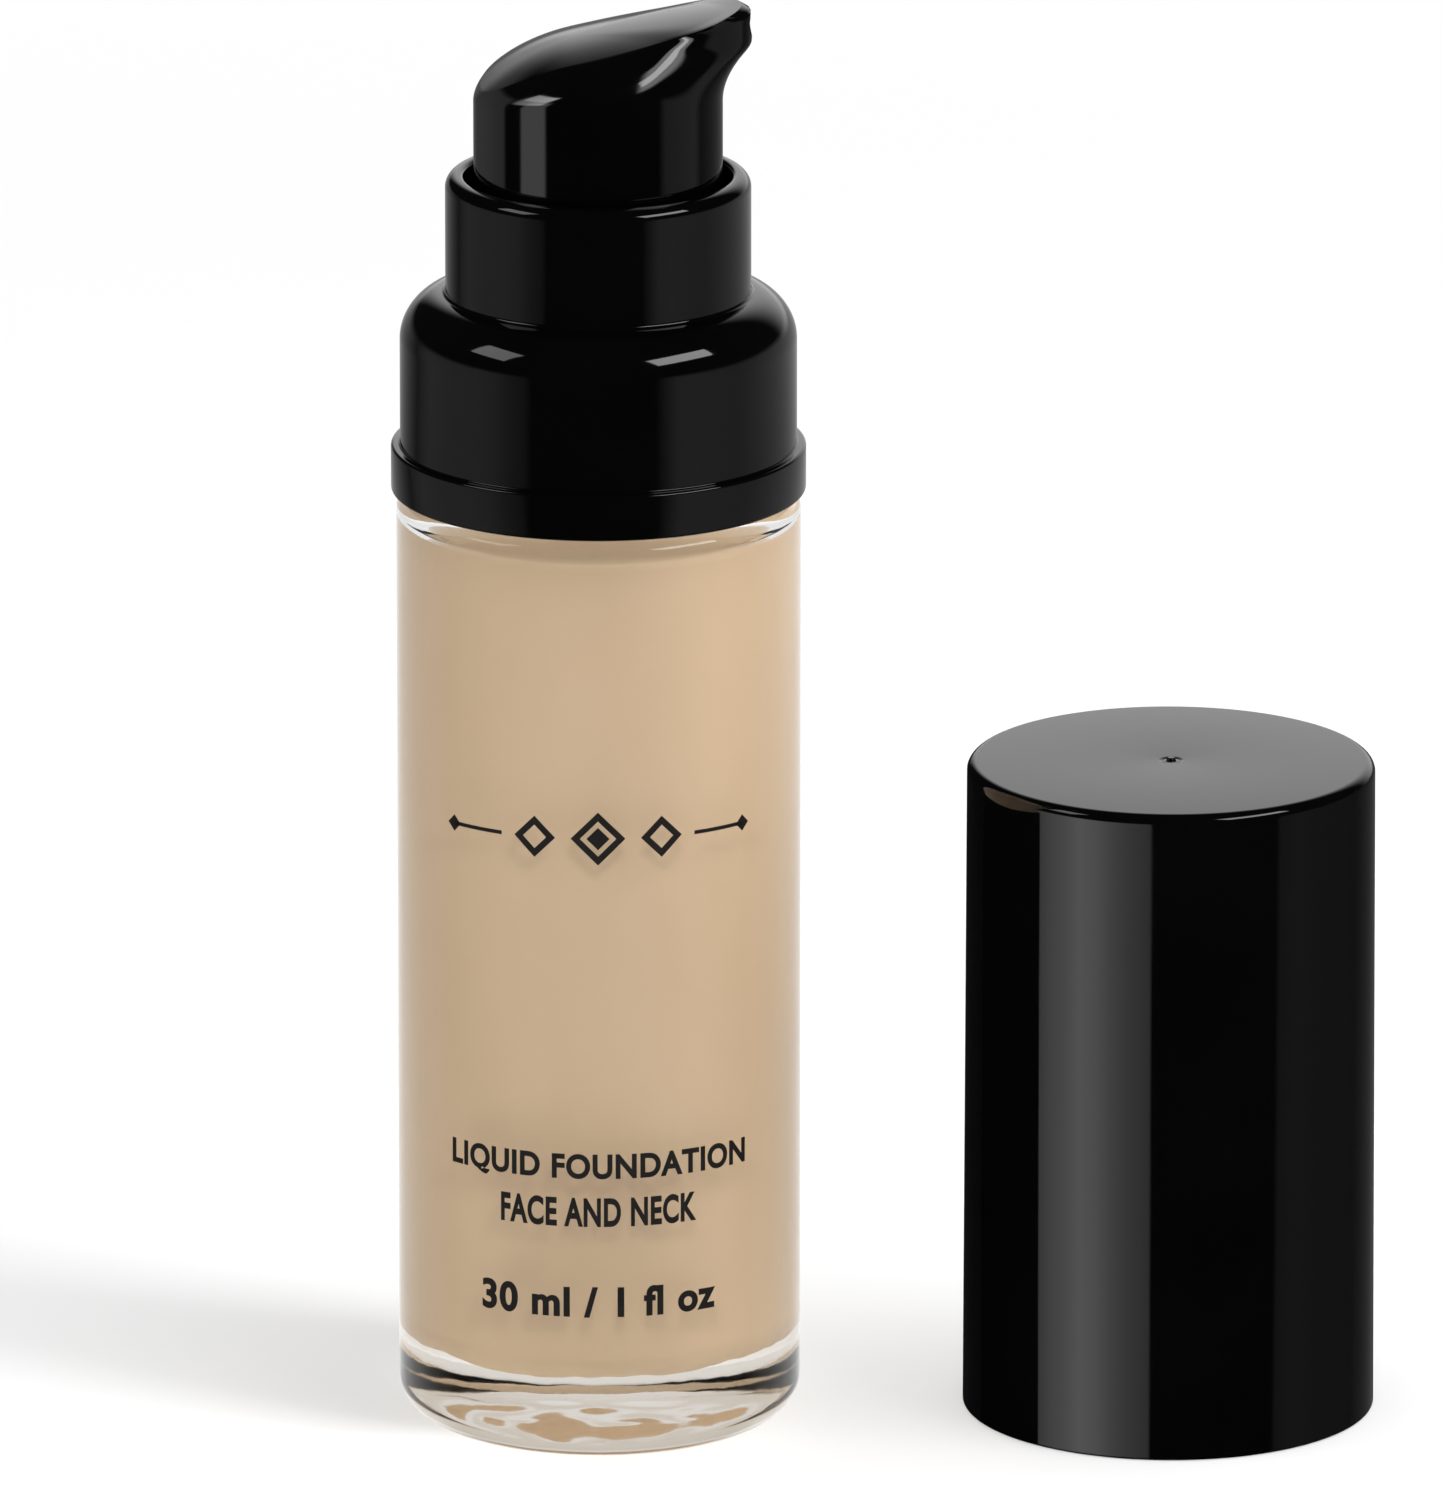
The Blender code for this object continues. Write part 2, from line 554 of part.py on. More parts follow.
def build_head(group, cutters, paint, body):
    """The press head: a loft from a round skirt to the leaf-shaped top, hollowed from below."""
    shell = bmesh.new()
    rings = [[shell.verts.new(point) for point in ring] for ring in head_rings()]
    for lower, upper in zip(rings, rings[1:]):
        for index, vertex in enumerate(lower):
            after = (index + 1) % len(lower)
            shell.faces.new((vertex, lower[after], upper[after], upper[index]))
    shell.faces.new(reversed(rings[0]))
    middle = shell.verts.new((LEAF_CENTRE, 0.0, crest(LEAF_CENTRE) + CREST_CROWN))
    for index, vertex in enumerate(rings[-1]):
        shell.faces.new((vertex, rings[-1][(index + 1) % len(rings[-1])], middle))
    mesh = bpy.data.meshes.new("actuator_head")
    bmesh.ops.recalc_face_normals(shell, faces=shell.faces)
    shell.to_mesh(mesh)
    shell.free()
    head = bpy.data.objects.new("actuator_head", mesh)
    group.objects.link(head)

    bore = STEM_RADIUS + REST_GAP
    socket = bore + SOCKET_WALL
    skirt = HEAD_RADIUS - HEAD_WALL
    socket_z = RING_TOP - SOCKET_DROP
    below = HEAD_Z - 1.0 * MM
    skirt_top = RING_TOP + SKIRT_TOP
    outlet_z = RING_TOP + OUTLET_START
    hollow = [(0.0, outlet_z), (RISER_RADIUS, outlet_z), (RISER_RADIUS, SOCKET_TOP_Z)]
    hollow += [(bore, SOCKET_TOP_Z), (bore, socket_z), (socket, socket_z), (socket, skirt_top)]
    hollow += [(skirt, skirt_top), (skirt, below), (0.0, below)]
    inside = turned("head_hollow", hollow, SMALL_SIDES, cutters)
    boolean(head, cutter(inside), "DIFFERENCE")

    start = Vector((0.0, 0.0, outlet_z - OUTLET_RADIUS))
    end = Vector((SPOUT_REACH, 0.0, RING_TOP + OUTLET_END))
    way = end - start
    drill = bmesh.new()
    bmesh.ops.create_cone(
        drill, cap_ends=True, segments=16, radius1=OUTLET_RADIUS, radius2=OUTLET_RADIUS,
        depth=way.length + 2.0 * MM,
        matrix=Matrix.Translation(start + way.normalized() * (way.length / 2.0 + 1.0 * MM))
        @ way.to_track_quat("Z", "Y").to_matrix().to_4x4(),
    )
    drill_mesh = bpy.data.meshes.new("head_outlet")
    drill.to_mesh(drill_mesh)
    drill.free()
    outlet = bpy.data.objects.new("head_outlet", drill_mesh)
    cutters.objects.link(outlet)
    boolean(head, cutter(outlet), "DIFFERENCE")
    return settled(head, paint, body)


def build_overcap(group, paint, body):
    mouth = TIER_RADIUS + CAP_MOUTH_GAP
    mouth_outer = mouth + CAP_MOUTH_WALL
    top_outer = mouth_outer - CAP_DRAFT
    inner = mouth_outer - CAP_WALL
    snap = mouth - CAP_SNAP
    ceiling = CAP_HEIGHT - CAP_TOP
    bead = CAP_SNAP_HEIGHT
    profile = [(0.0, CAP_HEIGHT - GATE_DEPTH + GATE_RISE), (GATE_NUB, CAP_HEIGHT - GATE_DEPTH + GATE_RISE)]
    profile += [(GATE_NUB, CAP_HEIGHT - GATE_DEPTH), (GATE_DIMPLE - EDGE_ROUND, CAP_HEIGHT - GATE_DEPTH)]
    profile += [(GATE_DIMPLE, CAP_HEIGHT)]
    profile += arc((top_outer - CAP_EDGE, CAP_HEIGHT - CAP_EDGE), CAP_EDGE, 90.0, 0.0, 4)
    profile += [(mouth_outer, EDGE_ROUND), (mouth_outer - EDGE_ROUND, 0.0), (mouth, 0.0)]
    profile += [(mouth, bead - EDGE_ROUND), (snap, bead), (mouth, bead + EDGE_ROUND)]
    profile += [(mouth, CAP_MOUTH_DEPTH), (inner, CAP_MOUTH_DEPTH + CAP_MOUTH_WALL)]
    profile += [(inner - CAP_DRAFT, ceiling), (0.0, ceiling)]
    cap = turned("overcap", profile, WIDE_SIDES, group)
    cap.location = CAP_PLACE
    bpy.context.view_layer.update()
    return settled(cap, paint, body)


def main():
    clear_scene()
    group = collection("foundation_bottle")
    cutters = collection("cutters")

    glass = material("clear_glass", (0.93, 0.95, 0.94), 0.02, transmission=1.0)
    cream = material("beige_cream", (0.52, 0.38, 0.25), 0.45)
    gloss_black = material("gloss_black", (0.006, 0.006, 0.006), 0.08)
    gloss_black_cap = material("gloss_black_cap", (0.006, 0.006, 0.006), 0.08)
    gloss_black_head = material("gloss_black_head", (0.006, 0.006, 0.006), 0.08)
    closure_black = material("closure_black", (0.02, 0.02, 0.02), 0.4)
    soft_white = material("soft_white", (0.8, 0.8, 0.78), 0.6)
    natural = material("natural_plastic", (0.75, 0.76, 0.74), 0.35)
    natural_guide = material("natural_guide", (0.78, 0.78, 0.76), 0.35)
    natural_stem = material("natural_stem", (0.8, 0.8, 0.78), 0.3)
    natural_seat = material("natural_seat", (0.72, 0.73, 0.72), 0.35)
    piston_plastic = material("piston_plastic", (0.7, 0.72, 0.75), 0.4)
    tube_plastic = material("tube_plastic", (0.8, 0.82, 0.8), 0.25)
    steel = material("spring_steel", (0.6, 0.6, 0.6), 0.3, metallic=1.0)
    ball_steel = material("ball_steel", (0.65, 0.65, 0.66), 0.15, metallic=1.0)

    bottle_body = joint_empty("bottle_body", (0.0, 0.0, 0.0), group)
    pump_rise = joint_empty("pump_rise_axis", (0.0, 0.0, HOUSING_FLANGE_Z), group)
    closure_turn = joint_empty("closure_turn_axis", (0.0, 0.0, FLANGE_Z), group)
    head_press = joint_empty("head_press_axis", (0.0, 0.0, STEM_STEP_Z), group)
    head_turn = joint_empty("head_turn_axis", (0.0, 0.0, HEAD_Z), group)
    piston_shift = joint_empty("piston_shift_axis", (0.0, 0.0, PISTON_Z), group)
    ball_lift = joint_empty("ball_lift_axis", (0.0, 0.0, SEAT_Z), group)
    cap_lift = joint_empty("cap_lift_axis", CAP_PLACE, group)

    build_glass(group, cutters, glass, bottle_body)
    build_cream(group, cream, bottle_body)
    build_gasket(group, soft_white, pump_rise)
    build_housing(group, natural, pump_rise)
    build_housing_cap(group, natural_guide, pump_rise)
    build_dip_tube(group, tube_plastic, pump_rise)
    build_spring(group, steel, pump_rise)
    build_closure(group, cutters, closure_black, closure_turn)
    build_collar(group, gloss_black, closure_turn)
    build_stem(group, natural_stem, head_press)
    build_piston_seat(group, natural_seat, head_press)
    build_head(group, cutters, gloss_black_head, head_turn)
    build_piston(group, piston_plastic, piston_shift)
    build_ball(group, ball_steel, ball_lift)
    build_overcap(group, gloss_black_cap, cap_lift)


main()
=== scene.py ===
"""Foundation bottle with a treatment pump and a loose overcap: fine surfaces, finishes and studio.

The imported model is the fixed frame. Each of its nodes is stood for by a finer piece that rides on
the same body. Lengths are millimetres times MM, so everything is in metres, +Z up, with the
bottle's axis on Z and its spout towards +X.
"""

from __future__ import annotations

import logging
import math
from dataclasses import dataclass, field
from enum import Enum
from typing import Callable, Iterable, Sequence

import bmesh
import bpy
from mathutils import Matrix, Vector, noise

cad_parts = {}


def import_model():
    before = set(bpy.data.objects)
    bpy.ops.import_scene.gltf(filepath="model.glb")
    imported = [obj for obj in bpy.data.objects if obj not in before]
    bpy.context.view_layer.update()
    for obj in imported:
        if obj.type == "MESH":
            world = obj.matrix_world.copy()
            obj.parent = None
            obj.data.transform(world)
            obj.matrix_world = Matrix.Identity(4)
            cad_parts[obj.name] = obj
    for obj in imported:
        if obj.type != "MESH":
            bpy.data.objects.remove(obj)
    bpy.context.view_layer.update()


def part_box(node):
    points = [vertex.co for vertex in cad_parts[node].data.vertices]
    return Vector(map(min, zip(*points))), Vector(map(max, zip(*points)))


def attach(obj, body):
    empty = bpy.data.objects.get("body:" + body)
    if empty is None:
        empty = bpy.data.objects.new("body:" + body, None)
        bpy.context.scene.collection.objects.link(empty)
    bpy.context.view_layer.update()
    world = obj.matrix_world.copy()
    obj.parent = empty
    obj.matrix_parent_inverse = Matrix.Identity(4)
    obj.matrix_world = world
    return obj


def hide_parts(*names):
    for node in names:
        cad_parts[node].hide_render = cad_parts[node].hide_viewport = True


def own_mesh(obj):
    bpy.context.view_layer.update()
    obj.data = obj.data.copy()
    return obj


LOG = logging.getLogger("foundation_bottle")

MM = 0.001
WELD = 0.001 * MM
FULL_TURN = 2.0 * math.pi
UP = Vector((0.0, 0.0, 1.0))

Colour = tuple[float, float, float]


class BodyName(Enum):
    """The bodies that pieces ride on."""

    BOTTLE = "bottle"
    PUMP_CORE = "pump_core"
    COLLAR = "collar"
    STEM = "stem"
    HEAD = "head"
    PISTON = "sliding_piston"
    BALL = "valve_ball"
    CAP = "cap"


# --------------------------------------------------------------------------- workshop


@dataclass(frozen=True)
class Extent:
    """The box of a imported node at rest, read as a round piece's."""

    low: Vector
    high: Vector

    @classmethod
    def of(cls, node: str) -> "Extent":
        """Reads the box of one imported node."""
        return cls(*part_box(node))

    @property
    def radius(self) -> float:
        """Half the width along X."""
        return (self.high.x - self.low.x) / 2.0

    @property
    def centre(self) -> Vector:
        """The middle of the box, at the height of its lowest corner."""
        middle = (self.low + self.high) / 2.0
        return Vector((middle.x, middle.y, self.low.z))

    @property
    def bottom(self) -> float:
        """Height of the lowest point."""
        return self.low.z

    @property
    def top(self) -> float:
        """Height of the highest point."""
        return self.high.z


@dataclass(frozen=True)
class Corner:
    """A corner of a half-section: distance from the axis, height, and the radius that rounds it."""

    out: float
    height: float
    round: float = 0.0
    steps: int = 5


class Lathe:
    """Turns half-sections round the Z axis with the spin operator."""

    def __init__(self, sides: int) -> None:
        """Keeps the number of sides of a full turn.

        Args:
            sides: Steps of the spin.
        """
        self.sides = sides

    @staticmethod
    def section(
        corners: Sequence[Corner], closed: bool, fine_below: float = -1.0
    ) -> bmesh.types.BMesh:
        """Draws a half-section in the XZ plane and rounds its corners.

        Args:
            corners: The section's corners, in order.
            closed: True for a loop, False for a line that starts and ends on the axis.
            fine_below: Level edges under this height are cut into short ones.

        Returns:
            A bmesh that holds only the section's wire.
        """
        wire = bmesh.new()
        posts = [wire.verts.new((corner.out, 0.0, corner.height)) for corner in corners]
        places = [post.co.copy() for post in posts]
        for first, second in zip(posts, posts[1:]):
            wire.edges.new((first, second))
        if closed:
            wire.edges.new((posts[-1], posts[0]))
        for index, corner in enumerate(corners):
            if corner.round <= 0.0:
                continue
            before = places[index - 1] - places[index]
            after = places[(index + 1) % len(places)] - places[index]
            reach = corner.round / math.tan(before.angle(after) / 2.0)
            bmesh.ops.bevel(
                wire, geom=[posts[index]], offset=reach, offset_type="OFFSET", segments=corner.steps,
                profile=0.5, affect="VERTICES", material=-1,
            )
        long = [
            edge for edge in wire.edges
            if edge.calc_length() > 2.0 * MM and max(vertex.co.z for vertex in edge.verts) < fine_below
        ]
        if long:
            bmesh.ops.subdivide_edges(wire, edges=long, cuts=12)
        return wire

    def turn(
        self, corners: Sequence[Corner], closed: bool, fine_below: float = -1.0
    ) -> bmesh.types.BMesh:
        """Spins a section into a closed body with its faces outwards.

        Args:
            corners: The section's corners, in order.
            closed: True for a ring-shaped body, False for one that crosses the axis.
            fine_below: Level edges under this height are cut into short ones.

        Returns:
            The turned body.
        """
        body = self.section(corners, closed, fine_below)
        bmesh.ops.spin(
            body, geom=body.verts[:] + body.edges[:], cent=(0.0, 0.0, 0.0), axis=UP,
            dvec=(0.0, 0.0, 0.0), angle=FULL_TURN, steps=self.sides, use_merge=True,
            use_normal_flip=False, use_duplicate=False,
        )
        Workshop.close(body)
        return body


@dataclass(frozen=True)
class Stretch:
    """A stretch of a coil: how many turns it has and how far it climbs in each."""

    turns: float
    pitch: float


class Workshop:
    """Operations that several pieces share."""

    @staticmethod
    def close(shape: bmesh.types.BMesh) -> None:
        """Merges doubles and turns every face outwards."""
        bmesh.ops.remove_doubles(shape, verts=shape.verts, dist=WELD)
        bmesh.ops.recalc_face_normals(shape, faces=shape.faces)

    @staticmethod
    def coil(
        section: Sequence[tuple[float, float]], start: float, stretches: Sequence[Stretch], steps: int
    ) -> bmesh.types.BMesh:
        """Winds a small closed section round the Z axis, right-handed, with closed ends.

        Args:
            section: Points (distance from the axis, height above the start) round the section.
            start: Height at which the coil starts.
            stretches: The coil's stretches, from its lower end up.
            steps: Steps in a full turn.

        Returns:
            The wound body.
        """
        shape = bmesh.new()
        posts = [shape.verts.new((out, 0.0, start + rise)) for out, rise in section]
        end_face = shape.faces.new(posts)
        last: list = [end_face, *end_face.edges, *end_face.verts]
        for stretch in stretches:
            count = max(1, round(stretch.turns * steps))
            made = bmesh.ops.spin(
                shape, geom=last, cent=(0.0, 0.0, 0.0), axis=UP, dvec=(0.0, 0.0, stretch.pitch / steps),
                angle=FULL_TURN * count / steps, steps=count, use_merge=False, use_normal_flip=False,
                use_duplicate=False,
            )
            last = made["geom_last"]
        Workshop.close(shape)
        return shape

    @staticmethod
    def combine(
        shape: bmesh.types.BMesh, other: bmesh.types.BMesh, operation: str
    ) -> bmesh.types.BMesh:
        """Cuts or joins two closed bodies.

        Args:
            shape: The body that is kept; it is freed.
            other: The body that is added or cut away; it is freed.
            operation: UNION or DIFFERENCE.

        Returns:
            The result, with its faces outwards.
        """
        objects = []
        for name, source in (("stock", shape), ("tool", other)):
            mesh = bpy.data.meshes.new(name)
            source.to_mesh(mesh)
            source.free()
            made = bpy.data.objects.new(name, mesh)
            bpy.context.scene.collection.objects.link(made)
            objects.append(made)
        stock, tool = objects
        change = stock.modifiers.new(operation, "BOOLEAN")
        change.operation = operation
        change.solver = "EXACT"
        change.object = tool
        graph = bpy.context.evaluated_depsgraph_get()
        result_mesh = bpy.data.meshes.new_from_object(stock.evaluated_get(graph))
        result = bmesh.new()
        result.from_mesh(result_mesh)
        for made in objects:
            mesh = made.data
            bpy.data.objects.remove(made, do_unlink=True)
            bpy.data.meshes.remove(mesh)
        bpy.data.meshes.remove(result_mesh)
        Workshop.close(result)
        return result


@dataclass(frozen=True)
class Piece:
    """What a finished piece is called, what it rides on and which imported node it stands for."""

    name: str
    body: BodyName
    node: str | None = None
    slot: str | None = None
    sharp_angle: float = 38.0

    def publish(self, shape: bmesh.types.BMesh, paint: bpy.types.Material) -> bpy.types.Object:
        """Turns a shape into a dressed object that rides on its body.

        Args:
            shape: The finished shape in its place; it is freed.
            paint: The material that dresses it.

        Returns:
            The object, with its own origin at the frame's origin.
        """
        mesh = bpy.data.meshes.new(self.name)
        shape.to_mesh(mesh)
        shape.free()
        mesh.shade_smooth()
        mesh.set_sharp_from_angle(angle=math.radians(self.sharp_angle))
        mesh.materials.append(paint)
        made = bpy.data.objects.new(self.name, mesh)
        bpy.context.scene.collection.objects.link(made)
        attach(made, self.body.value)
        if self.node is not None:
            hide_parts(self.node)
        faces = len(mesh.polygons)
        LOG.info("%s: %d faces, rides on %s, %s", self.name, faces, self.body.value, paint.name)
        return made


# --------------------------------------------------------------------------- finishes


class NodeBoard:
    """A material's node tree with a Principled shader and short calls that add nodes to it."""

    def __init__(self, name: str) -> None:
        """Starts a material.

        Args:
            name: The material's name.
        """
        self.material = bpy.data.materials.new(name)
        self.material.use_nodes = True
        self.tree = self.material.node_tree
        self.tree.nodes.clear()
        self.output = self.tree.nodes.new("ShaderNodeOutputMaterial")
        self.shader = self.tree.nodes.new("ShaderNodeBsdfPrincipled")
        self.tree.links.new(self.shader.outputs["BSDF"], self.output.inputs["Surface"])
        self.place = self.tree.nodes.new("ShaderNodeTexCoord").outputs["Object"]

    def add(self, kind: str, inputs: dict[str | int, object], **settings: object) -> bpy.types.Node:
        """Adds a node.

        Args:
            kind: Its type.
            inputs: A value or an output socket for each named or numbered input.
            **settings: Its own properties.

        Returns:
            The node.
        """
        node = self.tree.nodes.new(kind)
        for key, value in settings.items():
            setattr(node, key, value)
        for key, value in inputs.items():
            if isinstance(value, bpy.types.NodeSocket):
                self.tree.links.new(value, node.inputs[key])
            else:
                node.inputs[key].default_value = value
        return node

    def speckle(
        self, size: float, detail: float = 3.0, stretch: Colour = (1.0, 1.0, 1.0)
    ) -> bpy.types.NodeSocket:
        """Noise whose patches are about size across.

        Args:
            size: Patch size in metres.
            detail: Octaves of finer noise.
            stretch: How much finer the noise is along each axis.

        Returns:
            A number from 0 to 1.
        """
        turned = self.add("ShaderNodeMapping", {"Vector": self.place, "Scale": stretch})
        made = self.add(
            "ShaderNodeTexNoise",
            {"Vector": turned.outputs[0], "Scale": 1.0 / size, "Detail": detail, "Roughness": 0.55},
        )
        return made.outputs[0]

    def between(
        self, source: bpy.types.NodeSocket, low: float, high: float, start: float = 0.3, end: float = 0.7
    ) -> bpy.types.NodeSocket:
        """Maps a pattern's start and end values to low and high.

        Args:
            source: The pattern.
            low: Result at start.
            high: Result at end.
            start: Pattern value that gives low.
            end: Pattern value that gives high.

        Returns:
            The mapped number.
        """
        made = self.add(
            "ShaderNodeMapRange",
            {"Value": source, "From Min": start, "From Max": end, "To Min": low, "To Max": high},
        )
        return made.outputs["Result"]

    def blend(
        self, share: bpy.types.NodeSocket, first: Colour, second: Colour
    ) -> bpy.types.NodeSocket:
        """Mixes two colours.

        Args:
            share: How much of the second colour shows.
            first: Colour at share 0.
            second: Colour at share 1.

        Returns:
            The mixed colour.
        """
        made = self.add(
            "ShaderNodeMix", {0: share, 6: (*first, 1.0), 7: (*second, 1.0)}, data_type="RGBA"
        )
        return made.outputs[2]

    def sum(
        self, first: bpy.types.NodeSocket, second: bpy.types.NodeSocket, share: float
    ) -> bpy.types.NodeSocket:
        """Adds a share of one pattern to another.

        Args:
            first: The main pattern.
            second: The pattern that is added.
            share: What the second one is multiplied by.

        Returns:
            The sum.
        """
        made = self.add("ShaderNodeMath", {0: second, 1: share, 2: first}, operation="MULTIPLY_ADD")
        return made.outputs[0]

    def relief(self, height: bpy.types.NodeSocket, depth: float) -> None:
        """Gives the shader a bump.

        Args:
            height: The bump's height pattern, 0 to 1.
            depth: Its depth in metres.
        """
        bump = self.add("ShaderNodeBump", {"Height": height, "Distance": depth, "Strength": 1.0})
        self.tree.links.new(bump.outputs["Normal"], self.shader.inputs["Normal"])

    def show(self, shader: bpy.types.Node) -> None:
        """Sends a shader to the material's surface in place of the one before."""
        self.tree.links.new(shader.outputs[0], self.output.inputs["Surface"])

    def mix(self, share: bpy.types.NodeSocket, other: bpy.types.Node) -> None:
        """Mixes the Principled shader with another one.

        Args:
            share: How much of the other one shows.
            other: The other shader.
        """
        self.show(
            self.add("ShaderNodeMixShader", {0: share, 1: self.shader.outputs["BSDF"], 2: other.outputs[0]})
        )

    def either(self, first: bpy.types.NodeSocket, second: bpy.types.NodeSocket) -> bpy.types.NodeSocket:
        """The greater of two numbers.

        Args:
            first: One number.
            second: The other.

        Returns:
            The greater one.
        """
        return self.add("ShaderNodeMath", {0: first, 1: second}, operation="MAXIMUM").outputs[0]

    def set(self, **values: object) -> None:
        """Sets or links the shader's inputs.

        Args:
            **values: A value or an output socket for each input; underscores stand for spaces.
        """
        for key, value in values.items():
            socket = self.shader.inputs[key.replace("_", " ")]
            if isinstance(value, bpy.types.NodeSocket):
                self.tree.links.new(value, socket)
            else:
                socket.default_value = value


@dataclass(frozen=True)
class MouldedPlastic:
    """Injection-moulded plastic: near-flat colour, a polish that varies, faint sink waves and grain."""

    name: str
    dark: Colour
    light: Colour
    polish: float
    haze: float
    wave: float
    grain: float
    cloudiness: float = 0.0
    sink_size: float = 14.0 * MM
    grain_size: float = 0.35 * MM
    wear_size: float = 5.0 * MM
    glow_depth: float = 0.6 * MM

    def material(self) -> bpy.types.Material:
        """Builds the plastic.

        Returns:
            The material.
        """
        board = NodeBoard(self.name)
        broad = board.speckle(self.sink_size, 2.0)
        fine = board.speckle(self.grain_size, 3.0)
        handling = board.speckle(self.wear_size, 5.0, (1.0, 1.0, 0.45))
        shade = board.between(board.sum(broad, fine, 0.25), 0.0, 1.0, 0.4, 0.85)
        board.set(
            Base_Color=board.blend(shade, self.dark, self.light),
            Roughness=board.between(handling, self.polish, self.haze, 0.35, 0.75),
            IOR=1.5,
        )
        if self.cloudiness > 0.0:
            board.set(
                Subsurface_Weight=self.cloudiness, Subsurface_Radius=(1.0, 1.0, 1.0),
                Subsurface_Scale=self.glow_depth,
            )
        board.relief(board.sum(broad, fine, self.grain / self.wave), self.wave)
        return board.material


@dataclass(frozen=True)
class ClearGlass:
    """Clear moulded glass with slow waves in its walls; lamps reach the cream behind it."""

    name: str = "clear_flint_glass"
    tint_thin: Colour = (0.985, 0.99, 0.985)
    tint_thick: Colour = (0.965, 0.975, 0.965)
    wave_size: float = 6.0 * MM
    wave_depth: float = 0.05 * MM
    seed_size: float = 1.6 * MM
    # Beige for the thick base: a painted reflection of the cream, not a tint of the glass itself.
    painted_cream_reflection: Colour = (0.70, 0.64, 0.56)
    base_top: float = 6.2 * MM
    base_blur: float = 0.07

    def material(self) -> bpy.types.Material:
        """Builds the glass; its thick base is tinted with the cream's colour, a painted reflection of the
        cream, and is a little frosted.

        Returns:
            The material.
        """
        board = NodeBoard(self.name)
        slow = board.speckle(self.wave_size, 2.0)
        seeds = board.speckle(self.seed_size, 2.0)
        height = board.add("ShaderNodeSeparateXYZ", {0: board.place}).outputs[2]
        above = board.between(height, 0.0, 1.0, 0.75 * self.base_top, self.base_top)
        wall = board.blend(slow, self.tint_thin, self.tint_thick)
        # Below base_top the glass takes the beige painted reflection of the cream; above it, the glass's own
        # faint tint.
        base = (*self.painted_cream_reflection, 1.0)
        tint = board.add("ShaderNodeMix", {0: above, 6: base, 7: wall}, data_type="RGBA")
        frost = board.between(above, self.base_blur, 0.0, 0.0, 1.0)
        board.set(
            Base_Color=tint.outputs[2],
            Roughness=board.sum(board.between(seeds, 0.0, 0.025, 0.45, 0.8), frost, 1.0),
            IOR=1.5,
            Transmission_Weight=1.0,
        )
        board.relief(board.sum(slow, seeds, 0.12), self.wave_depth)
        path = board.add("ShaderNodeLightPath", {}).outputs
        clear = board.add("ShaderNodeBsdfTransparent", {"Color": (*self.tint_thick, 1.0)})
        board.mix(board.either(path["Is Shadow Ray"], path["Is Diffuse Ray"]), clear)
        return board.material


@dataclass(frozen=True)
class CreamFluid:
    """Beige foundation behind glass: a smooth emulsion with faint streaks from filling."""

    name: str = "beige_foundation_cream"
    main: Colour = (0.370, 0.264, 0.168)
    streak: Colour = (0.395, 0.285, 0.185)
    streak_size: float = 9.0 * MM
    pigment_size: float = 0.5 * MM
    skin_depth: float = 0.04 * MM

    def material(self) -> bpy.types.Material:
        """Builds the cream.

        Returns:
            The material.
        """
        board = NodeBoard(self.name)
        streaks = board.speckle(self.streak_size, 4.0, (1.0, 1.0, 0.35))
        pigment = board.speckle(self.pigment_size, 2.0)
        shade = board.between(board.sum(streaks, pigment, 0.15), 0.0, 1.0, 0.35, 0.8)
        board.set(
            Base_Color=board.blend(shade, self.main, self.streak),
            Roughness=board.between(pigment, 0.42, 0.6),
            IOR=1.4,
        )
        board.relief(board.sum(streaks, pigment, 0.1), self.skin_depth)
        return board.material


@dataclass(frozen=True)
class DrawnSteel:
    """Bright steel with fine marks along one direction."""

    name: str
    colour: Colour
    polish: float
    haze: float
    mark_size: float
    mark_stretch: Colour
    mark_depth: float
    stain_size: float = 2.0 * MM
    stain_shade: float = 0.8

    def material(self) -> bpy.types.Material:
        """Builds the steel.

        Returns:
            The material.
        """
        board = NodeBoard(self.name)
        marks = board.speckle(self.mark_size, 4.0, self.mark_stretch)
        stain = board.speckle(self.stain_size, 3.0)
        darker = tuple(self.stain_shade * channel for channel in self.colour)
        board.set(
            Base_Color=board.blend(stain, self.colour, darker),
            Metallic=1.0,
            Roughness=board.between(board.sum(marks, stain, 0.4), self.polish, self.haze, 0.4, 1.0),
        )
        board.relief(marks, self.mark_depth)
        return board.material


@dataclass(frozen=True)
class FoamLiner:
    """Foamed polyethylene: matt white with small closed cells."""

    name: str = "foamed_white_liner"
    dark: Colour = (0.74, 0.74, 0.71)
    light: Colour = (0.84, 0.84, 0.82)
    cell: float = 0.22 * MM
    cell_depth: float = 0.05 * MM

    def material(self) -> bpy.types.Material:
        """Builds the foam.

        Returns:
            The material.
        """
        board = NodeBoard(self.name)
        cells = board.add("ShaderNodeTexVoronoi", {"Vector": board.place, "Scale": 1.0 / self.cell})
        foam = cells.outputs["Distance"]
        board.set(
            Base_Color=board.blend(foam, self.dark, self.light),
            Roughness=board.between(foam, 0.55, 0.8, 0.0, 1.0),
        )
        board.relief(foam, self.cell_depth)
        return board.material


@dataclass(frozen=True)
class ScreenInk:
    """Black screen-print ink, slightly raised, with an uneven skin."""

    name: str = "black_screen_ink"
    dark: Colour = (0.010, 0.009, 0.008)
    light: Colour = (0.020, 0.018, 0.016)
    skin_size: float = 0.12 * MM
    skin_depth: float = 0.004 * MM

    def material(self) -> bpy.types.Material:
        """Builds the ink.

        Returns:
            The material.
        """
        board = NodeBoard(self.name)
        skin = board.speckle(self.skin_size, 3.0)
        board.set(
            Base_Color=board.blend(board.speckle(1.5 * MM), self.dark, self.light),
            Roughness=board.between(skin, 0.38, 0.6),
            IOR=1.45,
        )
        board.relief(skin, self.skin_depth)
        return board.material


